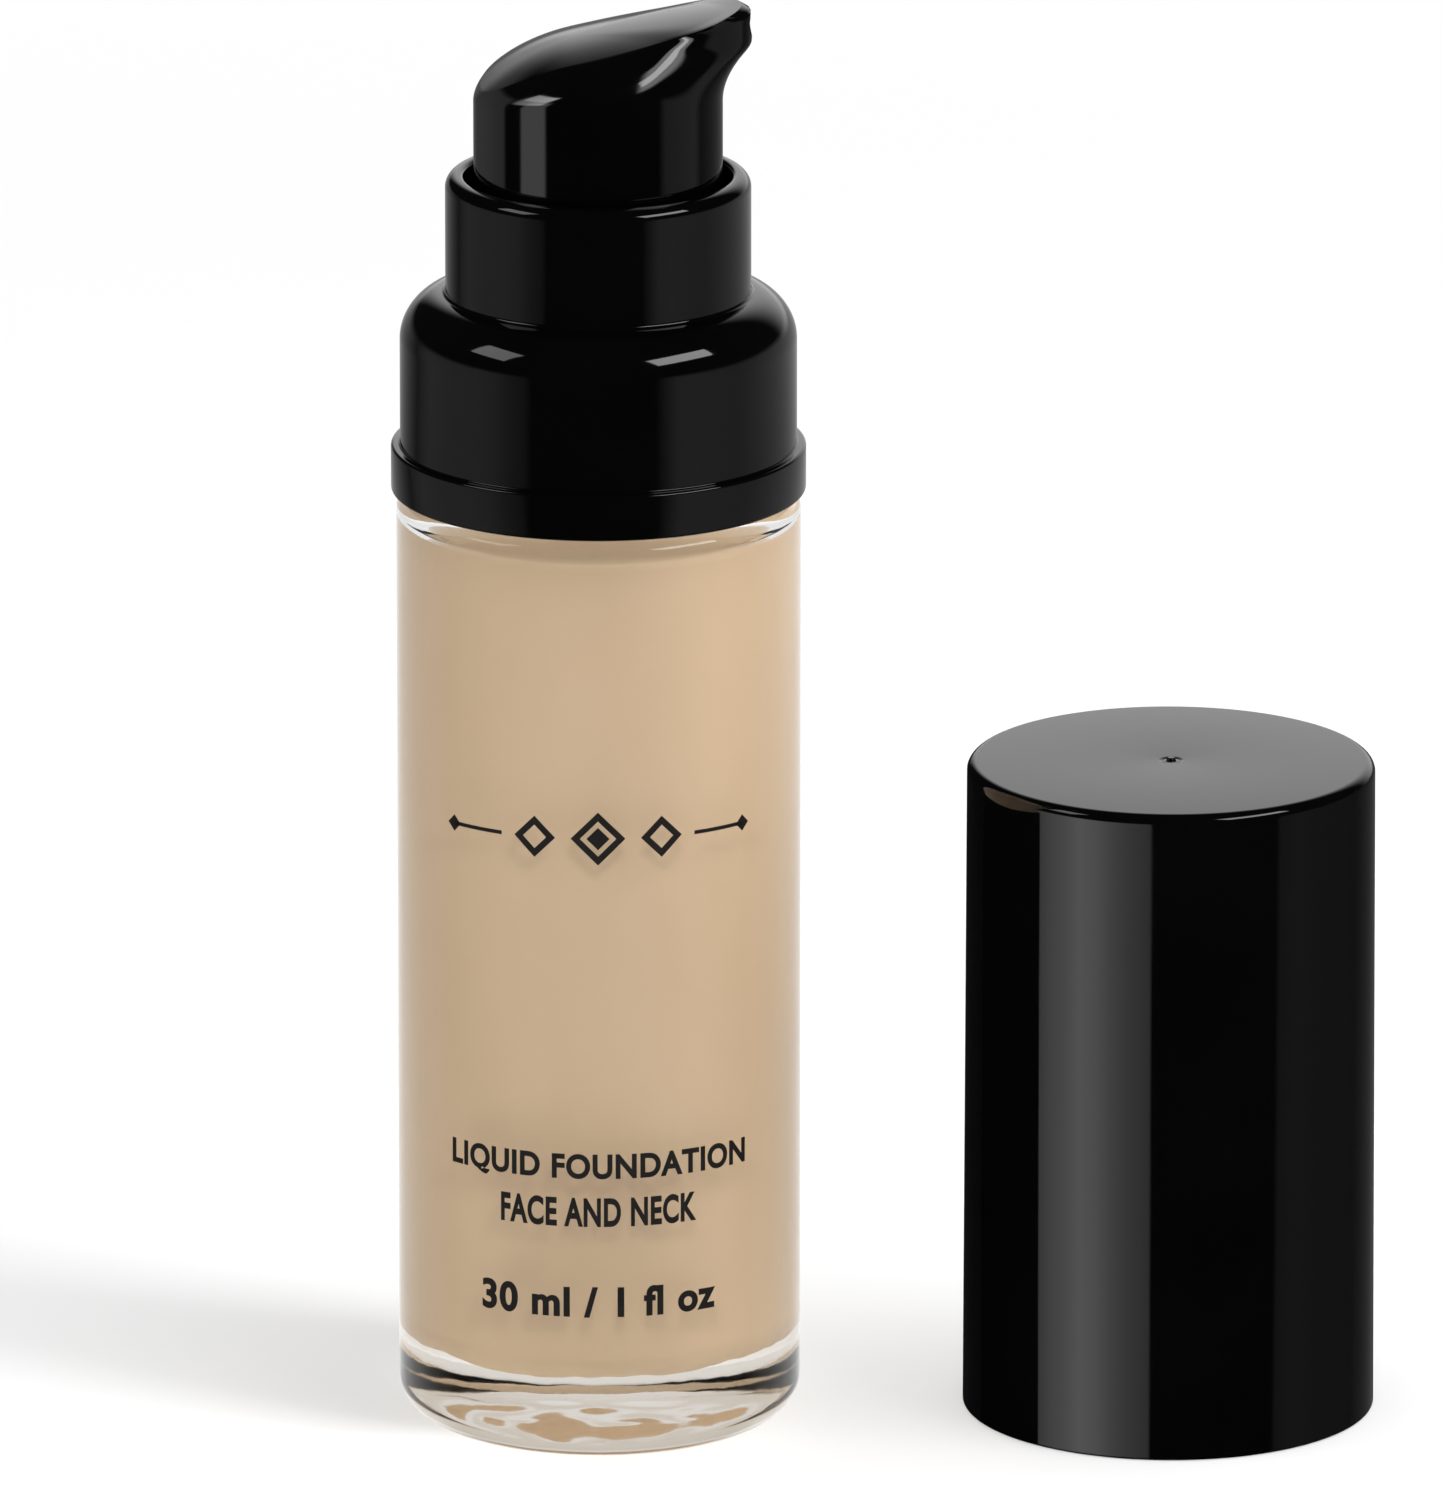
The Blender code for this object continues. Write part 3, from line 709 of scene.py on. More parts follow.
@dataclass(frozen=True)
class PaleFloor:
    """The studio's floor: matt white with a trace of unevenness, which runs out into the white sky."""

    name: str = "pale_studio_floor"
    first: Colour = (0.60, 0.60, 0.60)
    second: Colour = (0.615, 0.615, 0.62)
    patch: float = 60.0 * MM
    fade_start: float = 0.20
    fade_end: float = 0.46

    def material(self) -> bpy.types.Material:
        """Builds the floor's finish.

        Returns:
            The material.
        """
        board = NodeBoard(self.name)
        board.set(
            Base_Color=board.blend(board.speckle(self.patch, 3.0), self.first, self.second),
            Roughness=0.9,
            Specular_IOR_Level=0.0,
        )
        reach = board.add("ShaderNodeVectorMath", {0: board.place}, operation="LENGTH")
        share = board.between(reach.outputs["Value"], 0.0, 1.0, self.fade_start, self.fade_end)
        white = board.add("ShaderNodeEmission", {"Strength": 1.0})
        board.mix(share, white)
        board.material.cycles.emission_sampling = "NONE"
        return board.material


# --------------------------------------------------------------------------- glass bottle


@dataclass
class GlassBottle:
    """The glass with its threaded neck, and the cream in it."""

    wall: float = 2.7 * MM
    floor: float = 6.0 * MM
    floor_dome: float = 0.5 * MM
    floor_corner: float = 2.2 * MM
    floor_waviness: float = 0.3 * MM
    underside_waviness: float = 0.28 * MM
    underside_pitch: float = 420.0
    swell_pitch: float = 260.0
    ripple_pitch: float = 700.0
    dome_round: float = 20.0 * MM
    heel: float = 3.0 * MM
    push_up: float = 1.7 * MM
    bearing_ring: float = 1.3 * MM
    shoulder: float = 73.4 * MM
    shoulder_edge: float = 1.2 * MM
    shoulder_wall: float = 1.5 * MM
    inner_shoulder: float = 1.3 * MM
    neck_radius: float = 9.9 * MM
    neck_bore: float = 7.3 * MM
    neck_fillet: float = 0.8 * MM
    lip_round: float = 0.4 * MM
    thread_pitch: float = 3.175 * MM
    thread_turns: float = 1.25
    thread_rise: float = 1.0 * MM
    thread_drop: float = 5.4 * MM
    cream_overlap: float = 0.05 * MM
    bore_wide: float = 5.7 * MM
    bore_middle: float = 3.4 * MM
    bore_step: float = 9.2 * MM
    sides: int = 160
    extent: Extent = field(default_factory=lambda: Extent.of("glass_bottle"))

    @property
    def inner_radius(self) -> float:
        """Radius of the space for the cream."""
        return self.extent.radius - self.wall

    @property
    def inner_top(self) -> float:
        """Height of the shoulder's underside."""
        return self.shoulder - self.shoulder_wall

    def _ripple(self, shape: bmesh.types.BMesh) -> None:
        """Makes both faces of the thick base uneven, as a blown base is.

        Args:
            shape: The glass or the cream.
        """
        reach = self.floor + self.floor_corner
        hollow = self.extent.radius - self.heel - 2.0 * self.bearing_ring
        for vertex in shape.verts:
            out = math.hypot(vertex.co.x, vertex.co.y)
            if vertex.co.z < self.push_up * 1.5 and out < hollow:
                fade = (1.0 - out / hollow) ** 0.3
                vertex.co.z += self.underside_waviness * noise.noise(
                    vertex.co * self.underside_pitch
                ) * fade
                continue
            if not 0.9 * self.floor < vertex.co.z < reach or out > self.inner_radius + self.cream_overlap * 1.5:
                continue
            fade = (reach - vertex.co.z) / self.floor_corner
            swell = noise.noise(vertex.co * self.swell_pitch) + 0.5 * noise.noise(
                vertex.co * self.ripple_pitch
            )
            vertex.co.z += self.floor_waviness * swell * min(1.0, fade * 2.0)

    def build_glass(self, paint: bpy.types.Material) -> bpy.types.Object:
        """Turns the glass and adds the neck's thread.

        Args:
            paint: The glass.

        Returns:
            The glass piece.
        """
        outer = self.extent.radius
        lip = self.extent.top
        ring = outer - self.heel
        corners = [
            Corner(0.0, self.floor + self.floor_dome),
            Corner(0.45 * self.inner_radius, self.floor + 0.8 * self.floor_dome, self.dome_round),
            Corner(self.inner_radius, self.floor, self.floor_corner, 10),
            Corner(self.inner_radius, self.inner_top, self.inner_shoulder, 10),
            Corner(self.neck_bore, self.inner_top + 0.4 * self.shoulder_wall, 1.2 * MM),
            Corner(self.neck_bore, lip, self.lip_round),
            Corner(self.neck_radius, lip, self.lip_round),
            Corner(self.neck_radius, self.shoulder, self.neck_fillet),
            Corner(outer, self.shoulder, self.shoulder_edge, 8),
            Corner(outer, 0.0, self.heel, 14),
            Corner(ring - self.bearing_ring, 0.0, 0.8 * MM),
            Corner(0.62 * ring, 0.75 * self.push_up, 4.0 * MM, 6),
            Corner(0.0, self.push_up),
        ]
        glass = Lathe(self.sides).turn(corners, closed=False, fine_below=1.3 * self.floor)
        self._ripple(glass)
        bead_in = self.neck_radius - 0.3 * MM
        bead_out = self.neck_radius + self.thread_rise
        bead = [
            (bead_in, -0.95 * MM), (bead_out - 0.25 * MM, -0.42 * MM), (bead_out, -0.2 * MM),
            (bead_out, 0.12 * MM), (bead_out - 0.3 * MM, 0.4 * MM), (bead_in, 0.75 * MM),
        ]
        thread = Workshop.coil(
            bead, lip - self.thread_drop, [Stretch(self.thread_turns, self.thread_pitch)], 96
        )
        glass = Workshop.combine(glass, thread, "UNION")
        kind = Piece("bottle_glass", BodyName.BOTTLE, "glass_bottle", "glass_clear")
        return kind.publish(glass, paint)

    def build_cream(self, paint: bpy.types.Material) -> bpy.types.Object:
        """Turns the cream: it wets the glass all round and leaves the pump's bore free.

        Args:
            paint: The cream.

        Returns:
            The cream piece.
        """
        housing = Extent.of("pump_housing")
        tube = Extent.of("dip_tube")
        cream = Extent.of("cream_fill")
        wide = self.bore_wide
        middle = self.bore_middle
        narrow = tube.radius + 0.4 * MM
        step = housing.bottom + self.bore_step
        outer = self.inner_radius + self.cream_overlap
        low = self.floor - self.cream_overlap
        corners = [
            Corner(0.0, self.floor + self.floor_dome + 0.5 * MM),
            Corner(narrow, self.floor + self.floor_dome + 0.5 * MM),
            Corner(narrow, housing.bottom - 0.3 * MM),
            Corner(middle, housing.bottom - 0.3 * MM),
            Corner(middle, step),
            Corner(wide, step + 0.5 * MM),
            Corner(wide, cream.top),
            Corner(0.72 * outer, cream.top + 0.1 * MM, 4.0 * MM),
            Corner(outer, self.inner_top + self.cream_overlap, self.inner_shoulder, 10),
            Corner(outer, low, self.floor_corner, 10),
            Corner(0.45 * outer, low + 0.8 * self.floor_dome, self.dome_round),
            Corner(0.0, low + self.floor_dome),
        ]
        fill = Lathe(self.sides).turn(corners, closed=False, fine_below=1.3 * self.floor)
        self._ripple(fill)
        kind = Piece("foundation_cream", BodyName.BOTTLE, "cream_fill", "cream_beige")
        return kind.publish(fill, paint)


@dataclass(frozen=True)
class PrintLine:
    """A line of generic print: its words, the height of its middle, its letters and its width."""

    name: str
    words: str
    height: float
    letter: float
    width: float
    weight: float = 0.0


@dataclass
class FrontPrint:
    """The ink on the bottle's front: an ornament and a few plain words, wrapped round the glass."""

    lift: float = 0.006 * MM
    thickness: float = 0.025 * MM
    slice: float = 0.45 * MM
    ornament_height: float = 50.1 * MM
    ornament_width: float = 24.4 * MM
    diamond: float = 2.1 * MM
    line: float = 0.5 * MM
    lines: tuple[PrintLine, ...] = (
        PrintLine("print_kind", "LIQUID FOUNDATION", 23.8 * MM, 2.35 * MM, 25.0 * MM, 0.035),
        PrintLine("print_use", "FACE AND NECK", 20.3 * MM, 2.35 * MM, 15.6 * MM, 0.035),
        PrintLine("print_volume", "30 ml / 1 fl oz", 13.1 * MM, 2.45 * MM, 19.0 * MM, 0.035),
    )
    extent: Extent = field(default_factory=lambda: Extent.of("glass_bottle"))

    def _wrap(
        self, flat: bmesh.types.BMesh, height: float, name: str, paint: bpy.types.Material
    ) -> bpy.types.Object:
        """Slices a flat print into upright strips and bends it round the glass.

        Args:
            flat: The print in the XY plane, its face towards +Z; it is freed by the piece.
            height: Height of its middle on the bottle.
            name: The piece's name.
            paint: The ink.

        Returns:
            The print piece.
        """
        radius = self.extent.radius + self.lift
        half = max(abs(vertex.co.x) for vertex in flat.verts)
        cuts = int(half / self.slice)
        for step in range(-cuts, cuts + 1):
            bmesh.ops.bisect_plane(
                flat, geom=flat.verts[:] + flat.edges[:] + flat.faces[:], dist=WELD,
                plane_co=(step * self.slice, 0.0, 0.0), plane_no=(1.0, 0.0, 0.0),
                clear_inner=False, clear_outer=False,
            )
        for vertex in flat.verts:
            across, along, proud = vertex.co
            angle = across / radius
            out = radius + proud
            vertex.co = Vector((out * math.sin(angle), -out * math.cos(angle), height + along))
        return Piece(name, BodyName.BOTTLE).publish(flat, paint)

    def _letters(self, text: PrintLine) -> bmesh.types.BMesh:
        """Sets a line in the built-in typeface, narrowed to its width.

        Args:
            text: The line.

        Returns:
            Its letters in the XY plane, with their thickness above it.
        """
        curve = bpy.data.curves.new(text.name, "FONT")
        curve.body = text.words
        curve.offset = text.weight
        curve.extrude = 0.5
        curve.resolution_u = 6
        curve.space_character = 1.08
        setter = bpy.data.objects.new(text.name, curve)
        bpy.context.scene.collection.objects.link(setter)
        graph = bpy.context.evaluated_depsgraph_get()
        mesh = bpy.data.meshes.new_from_object(setter.evaluated_get(graph))
        letters = bmesh.new()
        letters.from_mesh(mesh)
        bpy.data.objects.remove(setter, do_unlink=True)
        bpy.data.curves.remove(curve)
        bpy.data.meshes.remove(mesh)
        Workshop.close(letters)
        low = Vector(min(vertex.co[axis] for vertex in letters.verts) for axis in range(3))
        high = Vector(max(vertex.co[axis] for vertex in letters.verts) for axis in range(3))
        size = high - low
        middle = Vector(((low.x + high.x) / 2, (low.y + high.y) / 2, low.z))
        fit = (text.width / size.x, text.letter / size.y, self.thickness / size.z)
        bmesh.ops.translate(letters, verts=letters.verts, vec=-middle)
        bmesh.ops.scale(letters, verts=letters.verts, vec=fit)
        return letters

    def _frame(self, shape: bmesh.types.BMesh, across: float, radius: float) -> None:
        """Adds an open diamond to the ornament.

        Args:
            shape: The ornament so far.
            across: Where the diamond's middle is.
            radius: From its middle to its points.
        """
        made = bmesh.ops.create_circle(shape, cap_ends=True, segments=4, radius=radius)
        bmesh.ops.translate(shape, verts=made["verts"], vec=(across, 0.0, 0.0))
        face = made["verts"][0].link_faces[0]
        bmesh.ops.inset_region(
            shape, faces=[face], thickness=self.line, depth=0.0, use_even_offset=True, use_boundary=True
        )
        bmesh.ops.delete(shape, geom=[face], context="FACES")

    def _rule(self, shape: bmesh.types.BMesh, start: float, end: float) -> None:
        """Adds a thin rule to the ornament.

        Args:
            shape: The ornament so far.
            start: Where the rule starts, across the front.
            end: Where it ends.
        """
        made = bmesh.ops.create_grid(shape, x_segments=1, y_segments=1, size=0.5)
        bmesh.ops.scale(shape, verts=made["verts"], vec=(end - start, 0.6 * self.line, 1.0))
        bmesh.ops.translate(shape, verts=made["verts"], vec=((start + end) / 2.0, 0.0, 0.0))

    def _ornament(self) -> bmesh.types.BMesh:
        """Draws a row of diamonds between two thin rules.

        Returns:
            The ornament in the XY plane, with its thickness above it.
        """
        shape = bmesh.new()
        gap = 2.35 * self.diamond
        for step in (-1, 0, 1):
            self._frame(shape, step * gap, self.diamond * (1.0 if step == 0 else 0.78))
        bmesh.ops.create_circle(shape, cap_ends=True, segments=4, radius=0.42 * self.diamond)
        inner = gap + 1.3 * self.diamond
        outer = self.ornament_width / 2.0
        for side in (-1.0, 1.0):
            low, high = sorted((side * inner, side * outer))
            self._rule(shape, low, high)
            end = bmesh.ops.create_circle(shape, cap_ends=True, segments=4, radius=1.3 * self.line)
            bmesh.ops.translate(shape, verts=end["verts"], vec=(side * outer, 0.0, 0.0))
        bmesh.ops.recalc_face_normals(shape, faces=shape.faces)
        flipped = [face for face in shape.faces if face.normal.z < 0.0]
        bmesh.ops.reverse_faces(shape, faces=flipped)
        bmesh.ops.solidify(shape, geom=shape.faces[:], thickness=-self.thickness)
        low = min(vertex.co.z for vertex in shape.verts)
        bmesh.ops.translate(shape, verts=shape.verts, vec=(0.0, 0.0, -low))
        bmesh.ops.recalc_face_normals(shape, faces=shape.faces)
        return shape

    def build(self, paint: bpy.types.Material) -> None:
        """Prints the ornament and the lines.

        Args:
            paint: The ink.
        """
        self._wrap(self._ornament(), self.ornament_height, "print_ornament", paint)
        for text in self.lines:
            self._wrap(self._letters(text), text.height, text.name, paint)


# --------------------------------------------------------------------------- collar


@dataclass
class Collar:
    """The outer collar (flange, shoulder tier, neck ring) and the threaded closure inside it."""

    flange_height: float = 3.6 * MM
    flange_step: float = 0.7 * MM
    tier_height: float = 12.0 * MM
    tier_round: float = 4.0 * MM
    wall: float = 1.5 * MM
    ceiling_drop: float = 11.0 * MM
    ring_bore: float = 10.25 * MM
    ring_wall: float = 1.45 * MM
    ring_round: float = 1.0 * MM
    edge: float = 0.25 * MM
    foot_fillet: float = 0.3 * MM
    sides: int = 160
    rib_every: int = 4
    rib: float = 0.18 * MM
    closure_hole: float = 6.8 * MM
    closure_bore: float = 11.2 * MM
    closure_top: float = 1.3 * MM
    closure_sides: int = 120
    thread_in: float = 10.2 * MM
    thread_start: float = 76.1 * MM
    thread_pitch: float = 3.175 * MM
    thread_turns: float = 1.25
    extent: Extent = field(default_factory=lambda: Extent.of("outer_collar"))

    def build_shell(self, paint: bpy.types.Material) -> bpy.types.Object:
        """Turns the collar's shell.

        Args:
            paint: Glossy plastic.

        Returns:
            The collar piece.
        """
        flange = self.extent.radius
        foot = self.extent.bottom
        top = self.extent.top
        tier = flange - self.flange_step
        tier_foot = foot + self.flange_height
        ring = self.ring_bore + self.ring_wall
        meet = math.acos((ring - tier + self.tier_round) / self.tier_round)
        ring_foot = tier_foot + self.tier_height - self.tier_round * (1.0 - math.sin(meet))
        tier_corner = ring_foot - (tier - ring) / math.tan(meet)
        ceiling = top - self.ceiling_drop
        bore = tier - self.wall
        corners = [
            Corner(self.ring_bore, top, 0.35 * MM),
            Corner(ring, top, self.ring_round, 8),
            Corner(ring, ring_foot, self.foot_fillet, 4),
            Corner(tier, tier_corner, 0.93 * self.tier_round, 20),
            Corner(tier, tier_foot, 0.15 * MM, 3),
            Corner(flange, tier_foot, self.edge, 5),
            Corner(flange, foot, self.edge, 5),
            Corner(bore + 0.4 * MM, foot, 0.15 * MM, 3),
            Corner(bore, foot + 0.5 * MM, 0.2 * MM, 3),
            Corner(bore, ceiling, 0.8 * MM),
            Corner(self.ring_bore, ceiling, 0.2 * MM, 3),
        ]
        shell = Lathe(self.sides).turn(corners, closed=True)
        kind = Piece("collar_shell", BodyName.COLLAR, "outer_collar", "collar_black")
        return kind.publish(shell, paint)

    def build_closure(self, paint: bpy.types.Material) -> bpy.types.Object:
        """Turns the threaded closure, ribs its outside and cuts its bead.

        Args:
            paint: Satin plastic.

        Returns:
            The closure piece.
        """
        extent = Extent.of("screw_closure")
        hole = self.closure_hole
        bore = self.closure_bore
        ceiling = extent.top - self.closure_top
        outer = extent.radius
        corners = [
            Corner(hole, extent.top, 0.15 * MM, 3),
            Corner(outer, extent.top, 0.6 * MM),
            Corner(outer, extent.bottom, 0.2 * MM, 3),
            Corner(bore, extent.bottom, 0.3 * MM, 3),
            Corner(bore, ceiling, 0.3 * MM, 3),
            Corner(hole, ceiling, 0.1 * MM, 3),
        ]
        closure = Lathe(self.closure_sides).turn(corners, closed=True)
        walls = [
            face for face in closure.faces
            if abs(face.normal.z) < 0.01 and math.hypot(*face.calc_center_median().xy) > outer - 0.05 * MM
        ]
        step = FULL_TURN / self.closure_sides
        ribs = []
        for face in walls:
            middle = face.calc_center_median()
            if round(math.atan2(middle.y, middle.x) / step - 0.5) % self.rib_every == 0:
                ribs.append(face)
        raised = bmesh.ops.extrude_discrete_faces(closure, faces=ribs)["faces"]
        for face in raised:
            push = face.normal * self.rib
            bmesh.ops.translate(closure, verts=face.verts, vec=push)
            bmesh.ops.scale(
                closure, verts=face.verts, vec=(1.0, 1.0, 0.94),
                space=Matrix.Translation(-face.calc_center_median()),
            )
        bead_out = bore + 0.3 * MM
        bead_in = self.thread_in
        bead = [
            (bead_out, -0.8 * MM), (bead_out, 0.8 * MM), (bead_in + 0.2 * MM, 0.35 * MM),
            (bead_in, 0.15 * MM), (bead_in, -0.15 * MM), (bead_in + 0.2 * MM, -0.35 * MM),
        ]
        thread = Workshop.coil(bead, self.thread_start, [Stretch(self.thread_turns, self.thread_pitch)], 96)
        closure = Workshop.combine(closure, thread, "UNION")
        kind = Piece("threaded_closure", BodyName.COLLAR, "screw_closure", "closure_black")
        return kind.publish(closure, paint)


# --------------------------------------------------------------------------- press head


def soft_least(first: float, second: float, width: float) -> float:
    """The lesser of two numbers, rounded where they are closer than width."""
    near = max(width - abs(first - second), 0.0) / width
    return min(first, second) - near * near * width / 4.0


@dataclass
class PressHead:
    """The press head: a round skirt that leans into a leaf-shaped top with an upturned spout."""

    ring_top: float = field(default_factory=lambda: Extent.of("outer_collar").top)
    extent: Extent = field(default_factory=lambda: Extent.of("actuator_head"))
    radius: float = 9.525 * MM
    wall: float = 1.3 * MM
    lean_start_front: float = 7.7 * MM
    lean_start_ends: float = 5.8 * MM
    crest_height: float = 10.55 * MM
    crest_slope: float = 0.236
    crown: float = 0.7 * MM
    droop: float = 29.0
    leaf_centre: float = -2.0 * MM
    leaf_width: float = 6.2 * MM
    tail_inset: float = 0.625 * MM
    reach: float = 11.75 * MM
    flare_share: float = 0.59
    nose_share: float = 0.88
    nose_round: float = 0.8 * MM
    edge_round: float = 0.22 * MM
    socket_bore: float = 3.0 * MM
    socket_wall: float = 1.2 * MM
    socket_drop: float = 2.5 * MM
    socket_top: float = 3.5 * MM
    skirt_top: float = 2.5 * MM
    riser: float = 1.2 * MM
    riser_top: float = 8.1 * MM
    outlet: float = 0.9 * MM
    outlet_end: float = 11.8 * MM
    sides: int = 160
    side_rings: int = 26
    top_rings: int = 14

    def crest(self, x: float) -> float:
        """Height of the top face at a place along the head."""
        sag = self.droop * min(0.0, x - self.leaf_centre) ** 2
        return self.ring_top + self.crest_height + self.crest_slope * x - sag

    def leaf(self, angle: float) -> tuple[float, float]:
        """Outline of the top face: half an ellipse to the spout, a blunt curve to the tail.

        Args:
            angle: Direction round the axis.

        Returns:
            The outline's x and y.
        """
        along, across = math.cos(angle), math.sin(angle)
        if along >= 0.0:
            return self.leaf_centre + (self.reach - self.leaf_centre) * along, self.leaf_width * across
        tail = self.radius - self.tail_inset + self.leaf_centre
        blunt = 2.0 / 3.0
        width = math.copysign(abs(across) ** blunt, across)
        return self.leaf_centre - tail * abs(along) ** blunt, self.leaf_width * width

    def _fall(self, x: float, along: float) -> float:
        """How steeply the top face falls outwards at its edge.

        Args:
            x: Place of the edge along the head.
            along: Cosine of its direction.

        Returns:
            The slope, never less than nothing.
        """
        slope = self.crest_slope - 2.0 * self.droop * min(0.0, x - self.leaf_centre)
        return max(0.0, -along) * slope + 2.0 * self.crown / self.leaf_width

    def side_point(self, angle: float, share: float) -> Vector:
        """A point of the side, from the round skirt (share 0) to the edge of the top (share 1).

        Args:
            angle: Direction round the axis.
            share: How far up the leaning part.

        Returns:
            The point.
        """
        along = math.cos(angle)
        lower = self.lean_start_front - self.lean_start_ends
        start = self.ring_top + self.lean_start_front - lower * along**2
        end_x, end_y = self.leaf(angle)
        rise = self.crest(end_x) - start
        turn = math.pi / 2.0 - math.atan(self._fall(end_x, along))
        lean_in = (1.0 - math.cos(share * turn)) / (1.0 - math.cos(turn))
        lean_up = math.sin(share * turn) / math.sin(turn)
        flare = soft_least((share / self.flare_share) ** 2, 1.0, 0.18 + 0.9 * (1.0 - max(0.0, along)))
        if share > self.nose_share:
            late = (share - self.nose_share) / (1.0 - self.nose_share)
            back = self.nose_round / (self.reach - self.radius)
            flare -= back * (1.0 - math.sqrt(max(0.0, 1.0 - late**2)))
        blend = min(1.0, max(0.0, (along - 0.45) / 0.5))
        blend = blend * blend * (3.0 - 2.0 * blend)
        out = (1.0 - blend) * lean_in + blend * flare
        high = (1.0 - blend) * lean_up + blend * share
        x, y = self.radius * math.cos(angle), self.radius * math.sin(angle)
        return Vector((x + (end_x - x) * out, y + (end_y - y) * out, start + rise * high))

    def _raise(
        self, shape: bmesh.types.BMesh, edges: Iterable[bmesh.types.BMEdge], turn: bmesh.types.BMLayerItem,
        place: Callable[[float], Vector],
    ) -> list[bmesh.types.BMEdge]:
        """Extrudes the open ring and moves each new vertex to its place.

        Args:
            shape: The head so far.
            edges: The ring's edges.
            turn: The layer that keeps each vertex's direction.
            place: Gives the point for a direction.

        Returns:
            The new ring's edges.
        """
        made = bmesh.ops.extrude_edge_only(shape, edges=list(edges))["geom"]
        for item in made:
            if isinstance(item, bmesh.types.BMVert):
                item.co = place(item[turn])
        fresh = {item for item in made if isinstance(item, bmesh.types.BMVert)}
        return [
            item for item in made
            if isinstance(item, bmesh.types.BMEdge) and item.verts[0] in fresh and item.verts[1] in fresh
        ]

    def _shell(self) -> bmesh.types.BMesh:
        """Raises the outer surface ring by ring from a circle, and closes it at both ends.

        Returns:
            The closed outer shape of the head.
        """
        shape = bmesh.new()
        turn = shape.verts.layers.float.new("turn")
        made = bmesh.ops.create_circle(shape, cap_ends=True, segments=self.sides, radius=self.radius)
        circle = made["verts"]
        bmesh.ops.translate(shape, verts=circle, vec=(0.0, 0.0, self.extent.bottom))
        for vertex in circle:
            vertex[turn] = math.atan2(vertex.co.y, vertex.co.x)
        ring = shape.edges[:]
        sunk = self.ring_top - self.extent.bottom
        for part in (0.5, 1.0):
            height = self.extent.bottom + part * sunk
            ring = self._raise(shape, ring, turn, lambda angle, z=height: self._skirt_point(angle, z))
        for step in range(self.side_rings + 1):
            share = step / self.side_rings
            ring = self._raise(shape, ring, turn, lambda angle, s=share: self.side_point(angle, s))
        crease = list(ring)
        for step in range(1, self.top_rings):
            scale = 1.0 - step / self.top_rings
            ring = self._raise(shape, ring, turn, lambda angle, s=scale: self._top_point(angle, s))
        tip = Vector((self.leaf_centre, 0.0, self.crest(self.leaf_centre) + self.crown))
        last = self._raise(shape, ring, turn, lambda angle: tip)
        bmesh.ops.pointmerge(shape, verts=list({v for edge in last for v in edge.verts}), merge_co=tip)
        bmesh.ops.recalc_face_normals(shape, faces=shape.faces)
        bmesh.ops.bevel(
            shape, geom=[edge for edge in crease if edge.is_valid], offset=self.edge_round,
            offset_type="OFFSET", segments=4, profile=0.5, affect="EDGES", material=-1, clamp_overlap=True,
        )
        return shape

    def _skirt_point(self, angle: float, height: float) -> Vector:
        """A point of the round skirt."""
        return Vector((self.radius * math.cos(angle), self.radius * math.sin(angle), height))

    def _top_point(self, angle: float, scale: float) -> Vector:
        """A point of the crowned top face, on the leaf's outline scaled towards its middle.

        Args:
            angle: Direction round the axis.
            scale: Size of the outline, 1 at the edge.

        Returns:
            The point.
        """
        edge = self.side_point(angle, 1.0)
        x = self.leaf_centre + (edge.x - self.leaf_centre) * scale
        return Vector((x, edge.y * scale, self.crest(x) + self.crown * (1.0 - scale**2)))

    def _sink(
        self, shape: bmesh.types.BMesh, face: bmesh.types.BMFace, inset: float, height: float
    ) -> bmesh.types.BMFace:
        """Insets a level face of the underside and moves what it leaves to a height.

        Args:
            shape: The head.
            face: The level face.
            inset: How far its outline moves inwards.
            height: Where the inner face goes.

        Returns:
            The moved face.
        """
        bmesh.ops.inset_region(shape, faces=[face], thickness=inset, depth=0.0, use_even_offset=True)
        moved = bmesh.ops.extrude_discrete_faces(shape, faces=[face])["faces"][0]
        bmesh.ops.translate(shape, verts=moved.verts, vec=(0.0, 0.0, height - moved.calc_center_median().z))
        return moved

    def build(self, paint: bpy.types.Material) -> bpy.types.Object:
        """Raises the shell, hollows it from below and drills the outlet.

        Args:
            paint: Glossy plastic.

        Returns:
            The head piece.
        """
        shape = self._shell()
        top = self.ring_top
        under = min(shape.faces, key=lambda face: face.calc_center_median().z)
        socket = self.socket_bore + self.socket_wall
        face = self._sink(shape, under, self.wall, top + self.skirt_top)
        face = self._sink(shape, face, self.radius - self.wall - socket, top - self.socket_drop)
        face = self._sink(shape, face, self.socket_wall, top + self.socket_top)
        self._sink(shape, face, self.socket_bore - self.riser, top + self.riser_top)
        Workshop.close(shape)
        start = Vector((0.0, 0.0, top + self.riser_top - self.outlet))
        end = Vector((self.reach, 0.0, top + self.outlet_end))
        way = end - start
        corners = [
            Corner(0.0, 0.0),
            Corner(self.outlet, 0.0),
            Corner(self.outlet, way.length - 0.5 * MM),
            Corner(1.25 * self.outlet, way.length + 0.6 * MM),
            Corner(0.0, way.length + 0.6 * MM),
        ]
        drill = Lathe(32).turn(corners, closed=False)
        drill.transform(Matrix.Translation(start) @ way.to_track_quat("Z", "Y").to_matrix().to_4x4())
        shape = Workshop.combine(shape, drill, "DIFFERENCE")
        kind = Piece("press_head", BodyName.HEAD, "actuator_head", "head_black", sharp_angle=42.0)
        return kind.publish(shape, paint)


# --------------------------------------------------------------------------- pump inside


